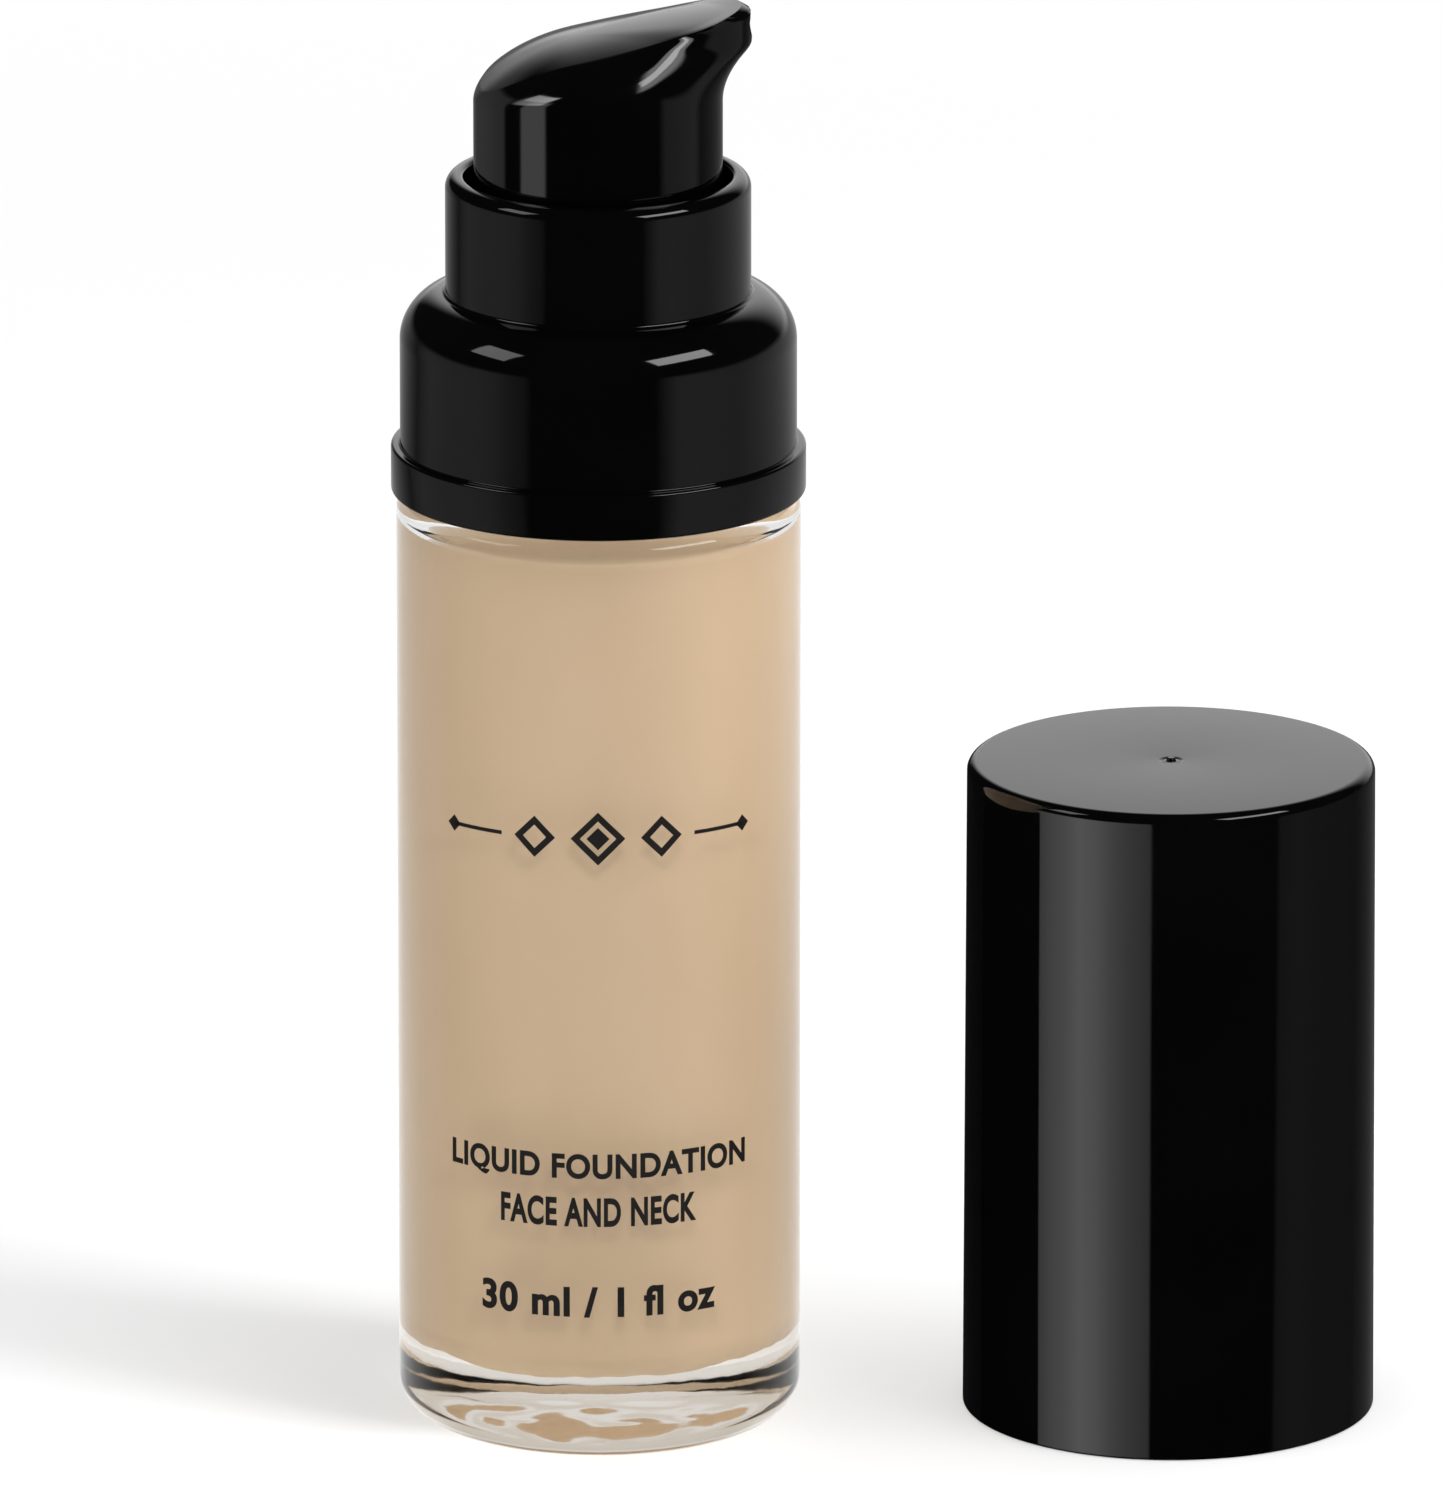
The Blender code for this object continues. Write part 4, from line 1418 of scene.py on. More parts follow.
@dataclass
class TreatmentPump:
    """What works inside: gasket, housing, guide, tube, spring, stem, seat, piston and ball."""

    sides: int = 72
    soft: float = 0.15 * MM
    cylinder: float = 4.3 * MM
    housing_outer: float = 5.3 * MM
    cylinder_floor: float = 62.0 * MM
    chamber: float = 2.0 * MM
    chamber_outer: float = 3.0 * MM
    stem_radius: float = 2.7 * MM
    stem_waist: float = 2.3 * MM
    stem_bore: float = 1.3 * MM
    spring_wire: float = 0.3 * MM
    spring_radius: float = 3.4 * MM
    press_travel: float = 5.5 * MM

    def _turn(self, piece: Piece, corners: Sequence[Corner], paint: bpy.types.Material) -> None:
        """Turns a piece from its section and publishes it.

        Args:
            piece: What it is called and rides on.
            corners: Its section; one that starts on the axis is a solid, any other a ring.
            paint: Its finish.
        """
        piece.publish(Lathe(self.sides).turn(corners, closed=corners[0].out > 0.0), paint)

    def build_gasket(self, paint: bpy.types.Material) -> None:
        """Turns the gasket, with its soft rounded rim.

        Args:
            paint: Its finish.
        """
        box = Extent.of("neck_gasket")
        inner = 5.6 * MM
        corners = [
            Corner(inner, box.top, self.soft), Corner(box.radius, box.top, self.soft),
            Corner(box.radius, box.bottom, self.soft), Corner(inner, box.bottom, self.soft),
        ]
        self._turn(Piece("gasket_ring", BodyName.PUMP_CORE, "neck_gasket", "gasket_white"), corners, paint)

    def build_housing(self, paint: bpy.types.Material) -> None:
        """Turns the housing: flange, cylinder, chamber with the ball's seat, and foot.

        Args:
            paint: Its finish.
        """
        box = Extent.of("pump_housing")
        flange_foot = box.top - 1.2 * MM
        chamber_top = self.cylinder_floor - 1.5 * MM
        chamber_floor = chamber_top - 2.9 * MM
        seat = chamber_floor - 1.1 * MM
        foot_top = seat - 0.5 * MM
        foot_bore = 1.9 * MM
        foot_outer = 2.8 * MM
        hole = 0.95 * MM
        ledge = self.cylinder - 1.4 * MM
        corners = [
            Corner(self.cylinder, box.top, self.soft), Corner(box.radius, box.top, self.soft),
            Corner(box.radius, flange_foot, self.soft), Corner(self.housing_outer, flange_foot, 0.3 * MM),
            Corner(self.housing_outer, self.cylinder_floor - 1.0 * MM, 0.6 * MM),
            Corner(self.chamber_outer, chamber_top, 0.4 * MM), Corner(self.chamber_outer, seat, 0.3 * MM),
            Corner(foot_outer, foot_top, 0.2 * MM), Corner(foot_outer, box.bottom, self.soft),
            Corner(foot_bore, box.bottom, self.soft), Corner(foot_bore, foot_top), Corner(hole, foot_top),
            Corner(hole, seat), Corner(self.chamber, chamber_floor), Corner(self.chamber, chamber_top),
            Corner(ledge, self.cylinder_floor), Corner(self.cylinder, self.cylinder_floor, 0.2 * MM),
        ]
        self._turn(
            Piece("cylinder_housing", BodyName.PUMP_CORE, "pump_housing", "housing_natural"), corners, paint
        )

    def build_guide(self, paint: bpy.types.Material) -> None:
        """Turns the stem's guide: plug, flange and chimney.

        Args:
            paint: Its finish.
        """
        box = Extent.of("housing_cap")
        bore = self.stem_radius + 0.3 * MM
        plug = self.cylinder - 0.15 * MM
        flange = box.bottom + 3.1 * MM
        flange_top = flange + 0.8 * MM
        chimney = bore + 1.6 * MM
        corners = [
            Corner(bore, box.top, self.soft), Corner(chimney, box.top, 0.3 * MM),
            Corner(chimney, flange_top, 0.3 * MM), Corner(box.radius, flange_top, self.soft),
            Corner(box.radius, flange, self.soft), Corner(plug, flange, 0.1 * MM),
            Corner(plug, box.bottom, self.soft), Corner(bore, box.bottom, self.soft),
        ]
        self._turn(Piece("stem_guide", BodyName.PUMP_CORE, "housing_cap", "guide_natural"), corners, paint)

    def build_tube(self, paint: bpy.types.Material) -> None:
        """Turns the dip tube and cuts its lower end to a slant.

        Args:
            paint: Its finish.
        """
        box = Extent.of("dip_tube")
        bore = 0.9 * MM
        corners = [
            Corner(bore, box.top), Corner(box.radius, box.top, 0.1 * MM),
            Corner(box.radius, box.bottom), Corner(bore, box.bottom),
        ]
        shape = Lathe(48).turn(corners, closed=True)
        cut = bmesh.ops.bisect_plane(
            shape, geom=shape.verts[:] + shape.edges[:] + shape.faces[:], dist=WELD,
            plane_co=(0.0, 0.0, box.bottom + 1.0 * MM), plane_no=(-0.5, 0.0, -1.0),
            clear_outer=True, clear_inner=False,
        )
        rims = [item for item in cut["geom_cut"] if isinstance(item, bmesh.types.BMEdge)]
        bmesh.ops.bridge_loops(shape, edges=rims)
        Workshop.close(shape)
        Piece("dip_tube_cut", BodyName.PUMP_CORE, "dip_tube", "tube_natural").publish(shape, paint)

    def build_spring(self, paint: bpy.types.Material) -> None:
        """Winds the spring with a dead turn at each end.

        Args:
            paint: Its finish.
        """
        box = Extent.of("return_spring")
        wire = self.spring_wire
        points = 14
        turns = [FULL_TURN * step / points for step in range(points)]
        section = [(self.spring_radius + wire * math.cos(turn), wire * math.sin(turn)) for turn in turns]
        length = box.top - box.bottom
        dead = Stretch(1.0, 2.15 * wire)
        active_turns = 4.5
        active = Stretch(active_turns, (length - 2.0 * wire - 2.0 * dead.pitch) / active_turns)
        shape = Workshop.coil(section, box.bottom + wire, [dead, active, dead], 48)
        kind = Piece("coil_spring", BodyName.PUMP_CORE, "return_spring", "spring_steel")
        made = kind.publish(shape, paint)
        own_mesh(made)

    def build_stem(self, paint: bpy.types.Material) -> None:
        """Turns the hollow stem with its waist.

        Args:
            paint: Its finish.
        """
        box = Extent.of("pump_stem")
        waist_top = Extent.of("housing_cap").bottom - 0.3 * MM
        corners = [
            Corner(self.stem_bore, box.top, 0.1 * MM), Corner(self.stem_radius, box.top, 0.35 * MM),
            Corner(self.stem_radius, waist_top, 0.1 * MM), Corner(self.stem_waist, waist_top, 0.1 * MM),
            Corner(self.stem_waist, box.bottom, 0.1 * MM), Corner(self.stem_bore, box.bottom, 0.1 * MM),
        ]
        self._turn(Piece("stem_tube", BodyName.STEM, "pump_stem", "stem_natural"), corners, paint)

    def build_seat(self, paint: bpy.types.Material) -> None:
        """Turns the plug that closes the piston's inlet.

        Args:
            paint: Its finish.
        """
        box = Extent.of("piston_seat")
        shank = self.stem_bore - 0.15 * MM
        disc_top = box.bottom + 1.0 * MM
        corners = [
            Corner(0.0, box.top), Corner(shank, box.top, 0.3 * MM), Corner(shank, disc_top, 0.2 * MM),
            Corner(box.radius, disc_top, self.soft), Corner(box.radius, box.bottom, 0.3 * MM),
            Corner(0.0, box.bottom),
        ]
        self._turn(Piece("piston_seat_plug", BodyName.STEM, "piston_seat", "seat_natural"), corners, paint)

    def build_piston(self, paint: bpy.types.Material) -> None:
        """Turns the piston with its two thin lips.

        Args:
            paint: Its finish.
        """
        box = Extent.of("piston")
        bore = self.stem_waist + 0.15 * MM
        waist = box.radius - 0.6 * MM
        groove = box.radius - 0.9 * MM
        lip = box.radius - 0.3 * MM
        corners = [
            Corner(bore, box.top, 0.1 * MM), Corner(groove, box.top, 0.1 * MM),
            Corner(groove, box.top - 0.5 * MM, 0.1 * MM), Corner(lip, box.top, 0.05 * MM),
            Corner(box.radius, box.top, 0.05 * MM), Corner(waist, box.top - 1.2 * MM, 0.3 * MM),
            Corner(waist, box.bottom + 1.2 * MM, 0.3 * MM), Corner(box.radius, box.bottom, 0.05 * MM),
            Corner(lip, box.bottom, 0.05 * MM), Corner(groove, box.bottom + 0.5 * MM, 0.1 * MM),
            Corner(groove, box.bottom, 0.1 * MM), Corner(bore, box.bottom, 0.1 * MM),
        ]
        self._turn(Piece("lipped_piston", BodyName.PISTON, "piston", "piston_natural"), corners, paint)

    def build_ball(self, paint: bpy.types.Material) -> None:
        """Makes the steel ball of the inlet valve.

        Args:
            paint: Its finish.
        """
        box = Extent.of("check_ball")
        shape = bmesh.new()
        radius = (box.top - box.bottom) / 2.0
        bmesh.ops.create_icosphere(shape, subdivisions=4, radius=radius)
        bmesh.ops.translate(shape, verts=shape.verts, vec=(0.0, 0.0, box.bottom + radius))
        Piece("inlet_ball", BodyName.BALL, "check_ball", "ball_steel").publish(shape, paint)


# --------------------------------------------------------------------------- overcap


@dataclass
class Overcap:
    """The loose cap that stands beside the bottle, mouth down."""

    height: float = 51.5 * MM
    mouth_wall: float = 0.55 * MM
    mouth_depth: float = 9.0 * MM
    wall: float = 1.1 * MM
    top_wall: float = 1.5 * MM
    draft: float = 0.2 * MM
    edge: float = 0.8 * MM
    bead_height: float = 2.5 * MM
    bead: float = 0.1 * MM
    dimple: float = 0.95 * MM
    dimple_depth: float = 0.08 * MM
    nub: float = 0.32 * MM
    sides: int = 176
    extent: Extent = field(default_factory=lambda: Extent.of("overcap"))

    def build(self, paint: bpy.types.Material) -> bpy.types.Object:
        """Turns the cap with its gate nub, snap bead and thin mouth.

        Args:
            paint: Glossy plastic.

        Returns:
            The cap piece.
        """
        outer = self.extent.radius
        mouth = outer - self.mouth_wall
        inner = outer - self.wall
        top = self.height
        ceiling = top - self.top_wall
        nub_top = self.extent.top
        bead = self.bead_height
        corners = [
            Corner(0.0, nub_top),
            Corner(self.nub, nub_top, 0.12 * MM, 4),
            Corner(1.15 * self.nub, top - self.dimple_depth, 0.1 * MM, 4),
            Corner(0.72 * self.dimple, top - self.dimple_depth, 0.25 * MM, 4),
            Corner(self.dimple, top, 0.35 * MM, 4),
            Corner(outer - self.draft, top, self.edge, 12),
            Corner(outer, 0.0, 0.22 * MM, 5),
            Corner(mouth, 0.0, 0.18 * MM, 4),
            Corner(mouth, bead - 0.3 * MM, 0.1 * MM, 3),
            Corner(mouth - self.bead, bead, 0.1 * MM, 3),
            Corner(mouth, bead + 0.3 * MM, 0.1 * MM, 3),
            Corner(mouth, self.mouth_depth, 0.3 * MM, 3),
            Corner(inner, self.mouth_depth + self.mouth_wall, 0.3 * MM, 3),
            Corner(inner - self.draft, ceiling, 1.0 * MM, 5),
            Corner(0.0, ceiling),
        ]
        shell = Lathe(self.sides).turn(corners, closed=False)
        centre = self.extent.centre
        bmesh.ops.translate(shell, verts=shell.verts, vec=(centre.x, centre.y, 0.0))
        made = Piece("cap_shell", BodyName.CAP, "overcap", "cap_black").publish(shell, paint)
        made.visible_glossy = False
        return made


# --------------------------------------------------------------------------- studio


def direction(azimuth: float, elevation: float) -> Vector:
    """The direction of a place in the studio.

    Args:
        azimuth: Degrees round the object; 0 is in front, positive to the right.
        elevation: Degrees above the horizon.

    Returns:
        The unit direction.
    """
    around, above = math.radians(azimuth), math.radians(elevation)
    flat = math.cos(above)
    return Vector((math.sin(around) * flat, -math.cos(around) * flat, math.sin(above)))


def turned(back: Vector) -> Matrix:
    """The turn that faces a lamp or camera away from a direction."""
    return back.to_track_quat("Z", "Y").to_matrix().to_4x4()


@dataclass(frozen=True)
class Sight:
    """Which rays meet a thing of the studio."""

    diffuse: bool = True
    glossy: bool = True
    transmission: bool = True
    shadow: bool = True

    def limit(
        self, thing: bpy.types.Object, pieces: Sequence[str], blockers: Sequence[str] = ()
    ) -> None:
        """Hides a thing from the camera and from other rays, and keeps its light to some pieces.

        Args:
            thing: The lamp or card.
            pieces: Objects that it lights; all of them if there are none here.
            blockers: Objects that shade its light; all of them if there are none here.
        """
        thing.visible_camera = False
        thing.visible_diffuse = self.diffuse
        thing.visible_glossy = self.glossy
        thing.visible_transmission = self.transmission
        thing.visible_shadow = self.shadow
        for names, role in ((pieces, "receiver_collection"), (blockers, "blocker_collection")):
            if not names:
                continue
            group = bpy.data.collections.new(f"{thing.name}_{role}")
            for name in names:
                group.objects.link(bpy.data.objects[name])
            setattr(thing.light_linking, role, group)


MIRRORED_ONLY = Sight(diffuse=False, transmission=False, shadow=False)
LIGHT_ONLY = Sight(glossy=False, transmission=False)


@dataclass(frozen=True)
class Softbox:
    """A rectangular soft lamp that faces the object."""

    name: str
    azimuth: float
    elevation: float
    width: float
    height: float
    glow: float
    distance: float = 0.7
    sight: Sight = Sight()
    pieces: tuple[str, ...] = ()
    blockers: tuple[str, ...] = ()

    def place(self, aim: Vector) -> bpy.types.Object:
        """Hangs the lamp.

        Args:
            aim: The point it faces.

        Returns:
            The lamp's object.
        """
        way = direction(self.azimuth, self.elevation)
        return hang_lamp(
            self.name, aim + way * self.distance, way, (self.width, self.height), self.glow, self.sight,
            self.pieces, self.blockers,
        )


def hang_lamp(
    name: str, place: Vector, back: Vector, size: tuple[float, float], glow: float, sight: Sight,
    pieces: Sequence[str] = (), blockers: Sequence[str] = (),
) -> bpy.types.Object:
    """Hangs a rectangular lamp.

    Args:
        name: Its name.
        place: Its middle.
        back: The direction its back faces.
        size: Its width and height.
        glow: Its radiance.
        sight: Which rays meet it.
        pieces: Objects it lights; all if empty.
        blockers: Objects that shade it; all if empty.

    Returns:
        The lamp's object.
    """
    lamp = bpy.data.lights.new(name, "AREA")
    lamp.shape = "RECTANGLE"
    lamp.size, lamp.size_y = size
    lamp.energy = math.pi * size[0] * size[1] * glow
    made = bpy.data.objects.new(name, lamp)
    bpy.context.scene.collection.objects.link(made)
    made.matrix_world = Matrix.Translation(place) @ turned(back)
    sight.limit(made, pieces, blockers)
    return made


@dataclass(frozen=True)
class Reflector:
    """A glowing card that only some glossy pieces mirror, spanned by angles seen from a point.

    Its glow is given as stops of azimuth and radiance; rays pass on through it.
    """

    name: str
    stops: tuple[tuple[float, float], ...]
    elevations: tuple[float, float]
    pieces: tuple[str, ...]
    centre: Vector
    feather: float = 0.12
    distance: float = 0.9

    def place(self) -> bpy.types.Object:
        """Bends a grid round the point and lights it.

        Returns:
            The card.
        """
        first, last = self.stops[0][0], self.stops[-1][0]
        low, high = self.elevations
        card = bmesh.new()
        layer = card.loops.layers.uv.new("card")
        made = bmesh.ops.create_grid(card, x_segments=32, y_segments=8, size=0.5)
        for face in card.faces:
            for loop in face.loops:
                loop[layer].uv = (loop.vert.co.x + 0.5, loop.vert.co.y + 0.5)
        for vertex in made["verts"]:
            azimuth = first + (last - first) * (vertex.co.x + 0.5)
            elevation = low + (high - low) * (vertex.co.y + 0.5)
            vertex.co = self.centre + direction(azimuth, elevation) * self.distance
        return stand_card(self.name, card, self._glow_material(), self.pieces)

    def _glow_material(self) -> bpy.types.Material:
        """See-through glow that follows the stops and fades towards the top and bottom edges.

        Returns:
            The material.
        """
        board = NodeBoard(self.name + "_glow")
        spot = board.add("ShaderNodeTexCoord", {})
        split = board.add("ShaderNodeSeparateXYZ", {0: spot.outputs["UV"]})
        first, last = self.stops[0][0], self.stops[-1][0]
        peak = max(level for _, level in self.stops)
        ramp = board.add("ShaderNodeValToRGB", {0: split.outputs[0]})
        marks = ramp.color_ramp.elements
        while len(marks) < len(self.stops):
            marks.new(0.5)
        for mark, (azimuth, level) in zip(marks, self.stops):
            mark.position = (azimuth - first) / (last - first)
            mark.color = (level / peak, level / peak, level / peak, 1.0)
        centred = board.add("ShaderNodeMath", {0: split.outputs[1], 1: 0.5}, operation="SUBTRACT")
        away = board.add("ShaderNodeMath", {0: centred.outputs[0]}, operation="ABSOLUTE")
        fade = board.between(away.outputs[0], peak, 0.0, 0.5 - self.feather, 0.5)
        level = board.add("ShaderNodeMath", {0: ramp.outputs[0], 1: fade}, operation="MULTIPLY")
        glow = board.add("ShaderNodeEmission", {"Strength": level.outputs[0]})
        clear = board.add("ShaderNodeBsdfTransparent", {})
        board.show(board.add("ShaderNodeAddShader", {0: glow.outputs[0], 1: clear.outputs[0]}))
        board.tree.nodes.remove(board.shader)
        board.material.cycles.emission_sampling = "NONE"
        return board.material


def stand_card(
    name: str, card: bmesh.types.BMesh, paint: bpy.types.Material, pieces: Sequence[str]
) -> bpy.types.Object:
    """Stands a card that is seen in mirror images only.

    Args:
        name: Its name.
        card: Its shape; it is freed.
        paint: Its material.
        pieces: Objects that show its glow.

    Returns:
        The card.
    """
    mesh = bpy.data.meshes.new(name)
    card.to_mesh(mesh)
    card.free()
    mesh.materials.append(paint)
    shown = bpy.data.objects.new(name, mesh)
    bpy.context.scene.collection.objects.link(shown)
    MIRRORED_ONLY.limit(shown, pieces)
    shown.visible_volume_scatter = False
    return shown


@dataclass
class Studio:
    """Floor, sky, lamps, cards and camera."""

    pitch: float = 16.0
    camera_distance: float = 1.9
    aim: tuple[float, float, float] = (9.38 * MM, 0.0, 52.72 * MM)
    frame_height: float = 115.25 * MM
    sensor: float = 36.0
    sky_glow: float = 0.9
    gloss_glow: float = 0.01
    back_glow: float = 1.0
    wall_edges: tuple[tuple[int, float, float], ...] = ((1, 0.66, 0.97), (2, -0.03, 0.1), (0, -0.34, -0.06))
    floor_reach: float = 2.5
    floor_drop: float = 0.05 * MM
    under_glow: float = 0.9
    under_size: float = 28.0 * MM
    under_low: float = 0.1 * MM
    under_high: float = 5.5 * MM
    down_share: float = 0.45
    flag_size: tuple[float, float] = (68.0 * MM, 15.0 * MM)
    flag_place: tuple[float, float, float] = (22.0 * MM, -5.0 * MM, 14.0 * MM)

    def build_floor(self) -> None:
        """Lays the floor just under the bottle's bearing ring."""
        shape = bmesh.new()
        bmesh.ops.create_grid(shape, x_segments=8, y_segments=8, size=self.floor_reach)
        bmesh.ops.translate(shape, verts=shape.verts, vec=(0.0, 0.0, -self.floor_drop))
        mesh = bpy.data.meshes.new("studio_floor")
        shape.to_mesh(mesh)
        shape.free()
        mesh.materials.append(PaleFloor().material())
        floor = bpy.data.objects.new("studio_floor", mesh)
        bpy.context.scene.collection.objects.link(floor)
        floor.visible_glossy = False

    def build_sky(self) -> None:
        """A white surround, of which gloss shows only the white wall behind the object."""
        world = bpy.data.worlds.new("studio_sky")
        world.use_nodes = True
        bpy.context.scene.world = world
        tree = world.node_tree
        tree.nodes.clear()
        link = tree.links.new
        output = tree.nodes.new("ShaderNodeOutputWorld")
        background = tree.nodes.new("ShaderNodeBackground")
        background.inputs["Color"].default_value = (1.0, 1.0, 1.0, 1.0)
        path = tree.nodes.new("ShaderNodeLightPath")
        way = tree.nodes.new("ShaderNodeTexCoord")
        split = tree.nodes.new("ShaderNodeSeparateXYZ")
        link(way.outputs["Generated"], split.inputs[0])
        wall = None
        for axis, start, end in self.wall_edges:
            edge = tree.nodes.new("ShaderNodeMapRange")
            edge.interpolation_type = "SMOOTHSTEP"
            edge.inputs["From Min"].default_value = start
            edge.inputs["From Max"].default_value = end
            link(split.outputs[axis], edge.inputs["Value"])
            if wall is None:
                edge.inputs["To Max"].default_value = self.back_glow
                wall = edge
                continue
            both = tree.nodes.new("ShaderNodeMath")
            both.operation = "MULTIPLY"
            link(wall.outputs[0], both.inputs[0])
            link(edge.outputs[0], both.inputs[1])
            wall = both
        dim = tree.nodes.new("ShaderNodeMath")
        dim.inputs[1].default_value = self.gloss_glow
        link(wall.outputs[0], dim.inputs[0])
        gloss = tree.nodes.new("ShaderNodeMix")
        gloss.inputs[2].default_value = self.sky_glow
        mirrored = tree.nodes.new("ShaderNodeMath")
        mirrored.operation = "GREATER_THAN"
        link(path.outputs["Is Glossy Ray"], mirrored.inputs[0])
        link(path.outputs["Is Transmission Ray"], mirrored.inputs[1])
        link(mirrored.outputs[0], gloss.inputs[0])
        link(dim.outputs[0], gloss.inputs[3])
        seen = tree.nodes.new("ShaderNodeMix")
        seen.inputs[3].default_value = 1.0
        link(path.outputs["Is Camera Ray"], seen.inputs[0])
        link(gloss.outputs[0], seen.inputs[2])
        link(seen.outputs[0], background.inputs["Strength"])
        link(background.outputs[0], output.inputs["Surface"])

    def build_lamps(self) -> None:
        """Hangs the soft lamps, and two small ones for the light that the thick base pipes."""
        aim = Vector(self.aim)
        cream = ("foundation_cream",)
        floor = ("studio_floor",)
        prints = ("print_ornament", "print_kind", "print_use", "print_volume")
        solid = ("foundation_cream", "collar_shell", "press_head")
        for box in (
            Softbox("softbox_left", -75.0, 42.0, 0.28, 0.22, 2.4),
            Softbox("softbox_right", 58.0, 43.0, 0.42, 0.17, 5.5),
            Softbox("cream_key", 4.0, 30.0, 0.16, 0.16, 21.0, 0.7, LIGHT_ONLY, cream, prints),
            Softbox("cream_top", 0.0, 80.0, 0.30, 0.30, 16.0, 0.7, LIGHT_ONLY, cream, prints),
            Softbox("cream_side", 98.0, 5.0, 0.30, 0.30, 13.0, 0.7, LIGHT_ONLY, cream, prints),
            Softbox("cream_low", -65.0, -42.0, 0.10, 0.10, 4.0, 0.25, LIGHT_ONLY, cream, prints),
            Softbox("floor_fill", 0.0, 90.0, 1.5, 1.5, 3.0, 2.0, LIGHT_ONLY, floor, solid),
            Softbox("floor_side", 62.0, 28.0, 0.25, 0.25, 32.0, 0.9, LIGHT_ONLY, floor, solid),
            Softbox("cream_back", 200.0, 24.0, 0.25, 0.25, 7.0, 0.7, LIGHT_ONLY, cream, prints),
        ):
            box.place(aim)
        size = (self.under_size, self.under_size)
        low, high = UP * self.under_low, UP * self.under_high
        hang_lamp("base_light_up", low, -UP, size, self.under_glow, LIGHT_ONLY, cream)
        hang_lamp("base_light_down", high, UP, size, self.down_share * self.under_glow, LIGHT_ONLY, floor)

    def build_cards(self) -> None:
        """Stands the cards that the black plastic and the glass's edges mirror."""
        pump = Vector((0.0, 0.0, 85.0 * MM))
        low_pump = Vector((0.0, 0.0, 40.0 * MM))
        cap = Extent.of("overcap").centre + Vector((0.0, 0.0, 25.0 * MM))
        level = (-45.0, 8.0)
        for card in (
            Reflector(
                "card_cap_left",
                ((-88.0, 0.0), (-86.0, 0.42), (-72.0, 1.1), (-62.0, 1.45), (-53.0, 1.95), (-43.0, 1.7),
                 (-34.0, 1.2), (-25.0, 0.87), (-17.0, 0.7), (-12.5, 0.6), (-11.0, 0.0)),
                level, ("cap_shell",), cap,
            ),
            Reflector(
                "card_cap_right",
                ((60.0, 0.0), (63.0, 0.11), (74.0, 0.13), (90.0, 0.09), (125.0, 0.03), (170.0, 0.1)),
                level, ("cap_shell",), cap,
            ),
            Reflector(
                "card_collar_left",
                ((-180.0, 0.5), (-152.0, 0.25), (-128.0, 0.05), (-112.0, 0.22), (-74.0, 0.3), (-62.0, 0.27),
                 (-52.0, 0.16), (-43.0, 0.1), (-38.0, 0.0)),
                level, ("collar_shell",), pump,
            ),
            Reflector(
                "card_collar_right",
                (
                    (33.0, 0.0), (38.0, 0.1), (46.0, 0.28), (56.0, 0.3), (87.0, 0.22), (133.0, 0.32),
                    (180.0, 0.5)
                ),
                level, ("collar_shell",), pump,
            ),
            Reflector(
                "card_head_left",
                ((-180.0, 0.2), (-150.0, 0.1), (-120.0, 0.25), (-98.0, 0.3), (-94.0, 0.0), (-77.0, 0.0),
                 (-74.0, 1.0), (-51.0, 1.1), (-48.0, 0.0)),
                (-45.0, 30.0), ("press_head",), pump,
            ),
            Reflector(
                "card_head_bend", ((-94.0, 0.0), (-88.0, 2.0), (-60.0, 4.5), (-55.0, 0.0)), (10.0, 52.0),
                ("press_head",), pump,
            ),
            Reflector(
                "card_head_lens", ((34.0, 0.0), (40.0, 3.2), (92.0, 3.2), (100.0, 0.0)), (20.0, 62.0),
                ("press_head",), pump,
            ),
            Reflector(
                "card_head_right",
                ((58.0, 0.0), (66.0, 0.22), (100.0, 0.24), (110.0, 0.05), (140.0, 0.1), (180.0, 0.2)),
                (-45.0, 0.0), ("press_head",), pump,
            ),
            Reflector(
                "card_glass_edges",
                ((92.0, 0.0), (130.0, 0.7), (160.0, 1.0), (200.0, 1.0), (230.0, 0.7), (268.0, 0.0)),
                (-50.0, 30.0), ("bottle_glass",), low_pump,
            ),
        ):
            card.place()

    def build_flag(self) -> None:
        """Stands the black flag between the bottle and the cap, which keeps each out of the other's gloss."""
        flag = bmesh.new()
        made = bmesh.ops.create_grid(flag, x_segments=1, y_segments=1, size=0.5)
        bmesh.ops.scale(flag, verts=made["verts"], vec=(*self.flag_size, 1.0))
        upright = Matrix.Rotation(math.pi / 2.0, 3, "Y")
        bmesh.ops.rotate(flag, verts=made["verts"], cent=(0.0, 0.0, 0.0), matrix=upright)
        bmesh.ops.translate(flag, verts=made["verts"], vec=self.flag_place)
        board = NodeBoard("black_flag_cloth")
        weave = board.blend(board.speckle(1.0 * MM), (0.0, 0.0, 0.0), (0.001, 0.001, 0.001))
        board.set(Base_Color=weave, Roughness=1.0)
        path = board.add("ShaderNodeLightPath", {}).outputs
        side = board.add("ShaderNodeNewGeometry", {}).outputs
        passing = board.either(path["Is Transmission Ray"], side["Backfacing"])
        board.mix(passing, board.add("ShaderNodeBsdfTransparent", {}))
        stand_card("flag_between", flag, board.material, ())

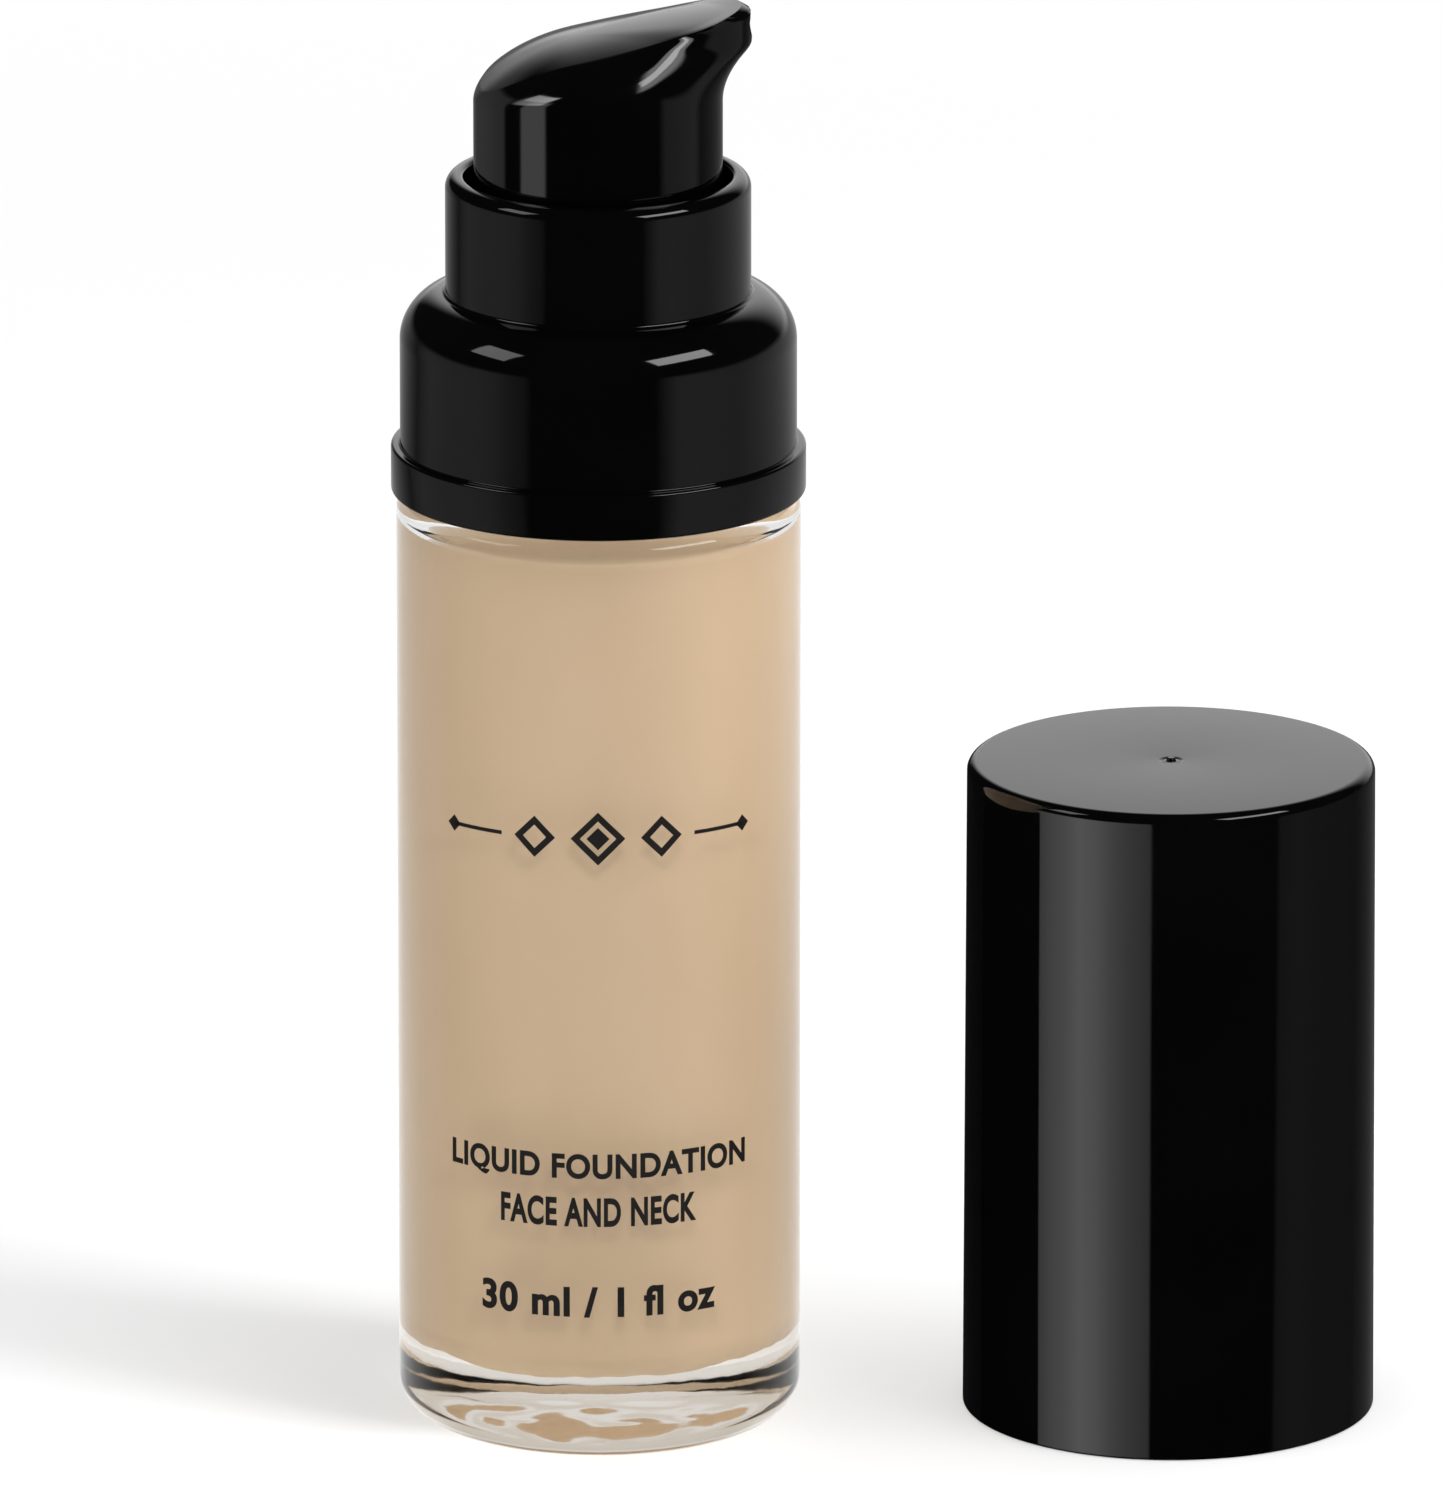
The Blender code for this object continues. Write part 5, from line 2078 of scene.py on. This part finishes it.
    def build_camera(self) -> None:
        """Places the camera and its long lens."""
        lens = bpy.data.cameras.new("product_camera")
        lens.sensor_width = self.sensor
        lens.lens = self.sensor * self.camera_distance / self.frame_height
        lens.dof.use_dof = False
        lens.clip_start = 0.01
        lens.clip_end = 100.0
        camera = bpy.data.objects.new("product_camera", lens)
        bpy.context.scene.collection.objects.link(camera)
        back = direction(0.0, self.pitch)
        camera.matrix_world = Matrix.Translation(
            Vector(self.aim) + back * self.camera_distance
        ) @ turned(back)
        bpy.context.scene.camera = camera
        bpy.context.scene.view_settings.view_transform = "Standard"

    def build(self) -> None:
        """Sets up the whole studio."""
        self.build_floor()
        self.build_sky()
        self.build_lamps()
        self.build_cards()
        self.build_flag()
        self.build_camera()


# --------------------------------------------------------------------------- main


def natural_plastic(name: str, dark: Colour, light: Colour) -> bpy.types.Material:
    """Uncoloured polypropylene or polyethylene, a little cloudy.

    Args:
        name: The material's name.
        dark: Its darker shade.
        light: Its lighter shade.

    Returns:
        The material.
    """
    return MouldedPlastic(name, dark, light, 0.28, 0.42, 0.02 * MM, 0.003 * MM, 0.25).material()


def gloss_black(name: str, polish: float, haze: float) -> bpy.types.Material:
    """Black plastic from a polished mould.

    Args:
        name: The material's name.
        polish: Its roughness where it is smoothest.
        haze: Its roughness where it has been handled.

    Returns:
        The material.
    """
    dark, light = (0.0006, 0.0008, 0.0006), (0.0012, 0.0014, 0.0012)
    return MouldedPlastic(name, dark, light, polish, haze, 0.012 * MM, 0.0004 * MM).material()


def build_pump(pump: TreatmentPump) -> None:
    """Builds the pump's inner pieces, each with its own finish.

    Args:
        pump: The pump's sizes.
    """
    wire = DrawnSteel(
        "drawn_spring_wire", (0.62, 0.61, 0.60), 0.18, 0.38, 0.2 * MM, (1.0, 1.0, 4.0), 0.004 * MM
    )
    lapped = DrawnSteel(
        "lapped_ball", (0.66, 0.66, 0.67), 0.05, 0.16, 0.15 * MM, (1.0, 1.0, 1.0), 0.001 * MM
    )
    pump.build_gasket(FoamLiner().material())
    pump.build_housing(natural_plastic("natural_housing", (0.72, 0.73, 0.71), (0.78, 0.79, 0.77)))
    pump.build_guide(natural_plastic("natural_guide", (0.75, 0.75, 0.73), (0.81, 0.81, 0.79)))
    pump.build_tube(natural_plastic("extruded_tube", (0.77, 0.79, 0.77), (0.83, 0.85, 0.83)))
    pump.build_spring(wire.material())
    pump.build_stem(natural_plastic("natural_stem", (0.77, 0.77, 0.75), (0.83, 0.83, 0.81)))
    pump.build_seat(natural_plastic("natural_seat", (0.69, 0.70, 0.69), (0.75, 0.76, 0.75)))
    pump.build_piston(natural_plastic("soft_piston", (0.66, 0.68, 0.72), (0.72, 0.74, 0.78)))
    pump.build_ball(lapped.material())


def main() -> None:
    """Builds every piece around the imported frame, then the studio."""
    logging.basicConfig(level=logging.INFO, format="%(name)s: %(message)s")
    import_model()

    bottle = GlassBottle()
    bottle.build_glass(ClearGlass().material())
    bottle.build_cream(CreamFluid().material())
    FrontPrint().build(ScreenInk().material())

    collar = Collar()
    collar.build_shell(gloss_black("gloss_black_collar", 0.045, 0.085))
    satin = MouldedPlastic(
        "satin_black_closure", (0.018, 0.018, 0.018), (0.026, 0.026, 0.026), 0.32, 0.45, 0.02 * MM,
        0.004 * MM
    )
    collar.build_closure(satin.material())
    PressHead().build(gloss_black("gloss_black_head", 0.045, 0.085))
    build_pump(TreatmentPump())
    Overcap().build(gloss_black("gloss_black_cap", 0.04, 0.075))
    Studio().build()

    bpy.context.view_layer.update()


if __name__ == "__main__":
    main()
